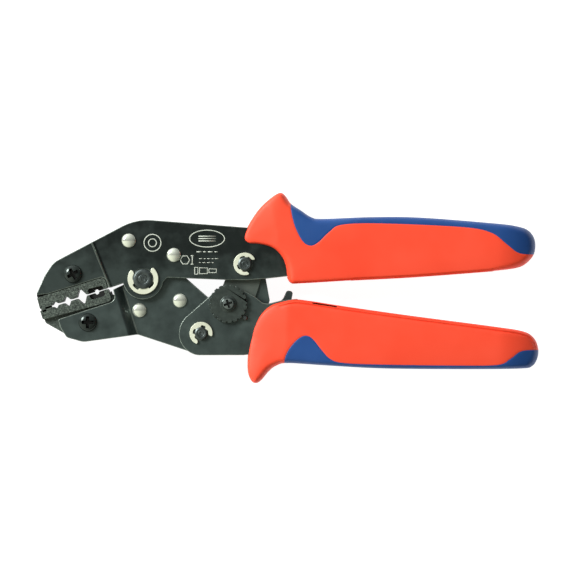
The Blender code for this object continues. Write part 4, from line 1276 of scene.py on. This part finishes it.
def grip_pair(word, form, tang, mouth, body, groove_levels=()):
    """A red grip and its blue inlay, hollow for the plates' tangs; the link's mouth is cut too."""
    half = FRAME_OUT + 0.15
    for (vertices, faces), look, end in zip(form.shells(), ("red_grip", "blue_inlay"), ("", "_inlay")):
        node = f"{word}_grip{end}"
        mesh = bpy.data.meshes.new(node)
        mesh.from_pydata(vertices, [], faces)
        piece = paint(keep("moulded_" + node, mesh), look)
        cut(piece, prism("pocket", [grown(tang, 0.15)], -half, half))
        if look == "red_grip":
            cut(piece, prism("mouth", [box(*mouth)], -LINK_HALF - 0.4, LINK_HALF + 0.4))
            # painted shade: the groove's walls take a near-black red
            for low in groove_levels:
                cut(piece, prism("groove", [PARTING], low, low + 4), "groove")
        mount(crisp(piece, 50), body, look, node)


def grips():
    upper = Grip(UPPER_GRIP, UPPER_INLAY, UPPER_CREASE, 45, 0.7, 0.35)
    grip_pair("upper", upper, frame_outline(), (50.0, 59.5, -4.0, 7.0), "fixed_frame")
    lower = Grip(LOWER_GRIP, LOWER_INLAY, LOWER_CREASE, -50, 1.4, 0.5)
    grip_pair("lower", lower, handle_outline(), (44.0, 58.2, -13.5, -6.0), "moving_handle", (6.0, -10.0))


# ---- marks

MARK = 0.36               # width of the printed lines
THIN_MARK = 0.22


def stroke(points, level, closed=False, wide=MARK):
    return wire("stroke", [(x, y, level) for x, y in points], wide, (level, 0.12), closed)


def joined(name, strokes, look, body):
    """Several closed strokes as one piece."""
    bm = bmesh.new()
    for piece in strokes:
        bm.from_mesh(piece.data)
        mesh = piece.data
        bpy.data.objects.remove(piece)
        bpy.data.meshes.remove(mesh)
    piece = from_bmesh(name, bm)
    piece.data.shade_smooth()
    mount(paint(piece, look), body, None)


def dashes(x, y, lengths, step, wide=MARK):
    """Points and width of a row of short plain dashes with even gaps."""
    result = []
    for length in lengths:
        result.append(([(x, y), (x + length, y)], wide))
        x += length + step
    return result


def plate_marks():
    """Plain printed marks: an oval, rings, a hexagon with its measure, dashes and a plug symbol."""
    turn = np.radians(np.arange(0, 360, 10))
    oval = [(24.3 + 6.6 * math.cos(a), 15.3 + 3.2 * math.sin(a)) for a in turn]
    hexagon = hole((15.9, 7.2), 1.75, 6)
    plug = box(19.6, 20.8, 1.8, 4.4), box(21.4, 24.4, 2.0, 4.2), box(25.0, 27.8, 2.4, 3.8)
    loops = (hole((3.6, 13.7), 3.2), hole((3.6, 13.7), 1.5), oval, hexagon, *plug)
    lines = [([(21.0, y), (27.6, y)], MARK) for y in (14.4, 15.3, 16.2)]
    lines += dashes(20.3, 10.3, (1.9, 1.2, 1.9, 1.2), 0.6, 0.34)
    lines += dashes(21.3, 7.7, (1.3, 0.8, 1.3, 0.8, 1.3), 0.45, THIN_MARK)
    lines += dashes(21.3, 6.2, (0.8, 1.3, 1.3, 0.8), 0.45, THIN_MARK)
    measure = ((18.1, 8.8), (19.3, 8.8)), ((18.1, 5.6), (19.3, 5.6)), ((18.7, 8.6), (18.7, 5.8))
    lines += [(line, MARK) for line in measure]
    marks = [stroke(loop, FRAME_OUT, True) for loop in loops]
    marks += [stroke(line, FRAME_OUT, wide=wide) for line, wide in lines]
    joined("printed_marks", marks, "print", "fixed_frame")


def die_marks():
    """Short plain strokes etched beside the cavities."""
    for name, body, v, turn in (("upper_die_marks", "fixed_frame", 3.7, 0.0),
                                ("lower_die_marks", "moving_jaw", -2.4, JAW_REST)):
        marks = []
        for i, u in enumerate(np.arange(17.0, 37.0, 1.25)):
            tall = 0.35 + 0.25 * math.sin(2.4 * i)
            lean = 0.2 * math.cos(1.7 * i)
            line = [head(u, v - tall, turn), head(u + lean, v + tall, turn)]
            marks.append(stroke(line, DIE_HALF, wide=THIN_MARK))
        joined(name, marks, "etch", body)


# ---- stage

TENT = 0.8
FLOOR_GLOW = 0.95
KEY = 14.0
CAMERA_RISE = 1.6
VIEW_WIDTH = 576 * 0.38 * MM
VIEW_CENTRE = (54.948, -3.42, 2.0)

# The tent's tones by one component of the direction: place, red, green, blue
ALONG_Y = ((-1.0, 0.70, 0.70, 0.58), (-0.05, 0.74, 0.74, 0.62), (0.0, 0.05, 0.05, 0.05),
           (0.05, 0.12, 0.12, 0.12), (0.42, 0.72, 0.74, 0.72), (0.7, 1.0, 1.0, 0.98),
           (1.0, 1.0, 1.0, 1.0))
ALONG_X = [(place, grey, grey, grey) for place, grey in
           ((-1.0, 1.6), (-0.3, 1.3), (0.0, 0.85), (0.3, 0.35), (1.0, 0.15))]


def light_tent():
    """A tent of pale sheets round the tool: bright on the left and behind, a dark slot overhead."""
    tent = bpy.data.worlds.new("tent")
    tent.use_nodes = True
    tree = tent.node_tree
    direction = tree.nodes.new("ShaderNodeTexCoord").outputs["Generated"]
    split = feed(tree, tree.nodes.new("ShaderNodeSeparateXYZ"), {"Vector": direction})

    def graded(component, stops):
        spread = feed(tree, tree.nodes.new("ShaderNodeMapRange"), {
            "Value": split.outputs[component], "From Min": -1, "From Max": 1})
        stops = [((place + 1) / 2, (*colour, 1)) for place, *colour in stops]
        return colour_ramp(tree, spread.outputs["Result"], stops)

    product = tree.nodes.new("ShaderNodeMix")
    product.data_type = "RGBA"
    product.blend_type = "MULTIPLY"
    feed(tree, product, {"Factor": 1.0, "A": graded("Y", ALONG_Y), "B": graded("X", ALONG_X)})
    feed(tree, tree.nodes["Background"], {"Strength": TENT, "Color": product.outputs["Result"]})
    bpy.context.scene.world = tent


def studio():
    floor = bpy.data.meshes.new("floor")
    floor.from_pydata([(x, y, 0) for x, y in box(-3, 3, -3, 3)], [], [(0, 1, 2, 3)])
    paper = Shader("paper", {"Roughness": 0.9, "Base Color": (0.35, 0.35, 0.35, 1),
                             "Emission Color": (1, 1, 1, 1), "Emission Strength": FLOOR_GLOW})
    floor.materials.append(paper.material)
    keep("floor", floor)
    light_tent()

    light = bpy.data.lights.new("key", "AREA")
    light.shape = "DISK"
    light.size = 0.45
    light.energy = KEY
    light.color = (1.0, 0.99, 0.97)
    lamp = keep("key", light)
    lamp.location = (-0.75, 0.45, 0.62)
    lamp.rotation_euler = (-lamp.location).to_track_quat("-Z", "Y").to_euler()

    scene = bpy.context.scene
    scene.view_settings.view_transform = "Standard"
    camera = bpy.data.cameras.new("camera")
    camera.sensor_width = 36.0
    camera.clip_start = 0.01
    camera.clip_end = 20
    camera.lens = camera.sensor_width * CAMERA_RISE / VIEW_WIDTH
    view = keep("camera", camera)
    view.location = world(*VIEW_CENTRE) + Vector((0, 0, CAMERA_RISE))
    scene.camera = view


plates()
dies()
pan_screw("upper_die_screw", UPPER_SCREW, "fixed_frame", 30)
pan_screw("lower_die_screw", LOWER_SCREW, "moving_jaw", 0)
rivets_and_sleeves()
pins_and_clips()
plain_pins()
return_spring()
pawl_spring()
toggle_link()
adjuster()
release_pawl()
grips()
plate_marks()
die_marks()
studio()
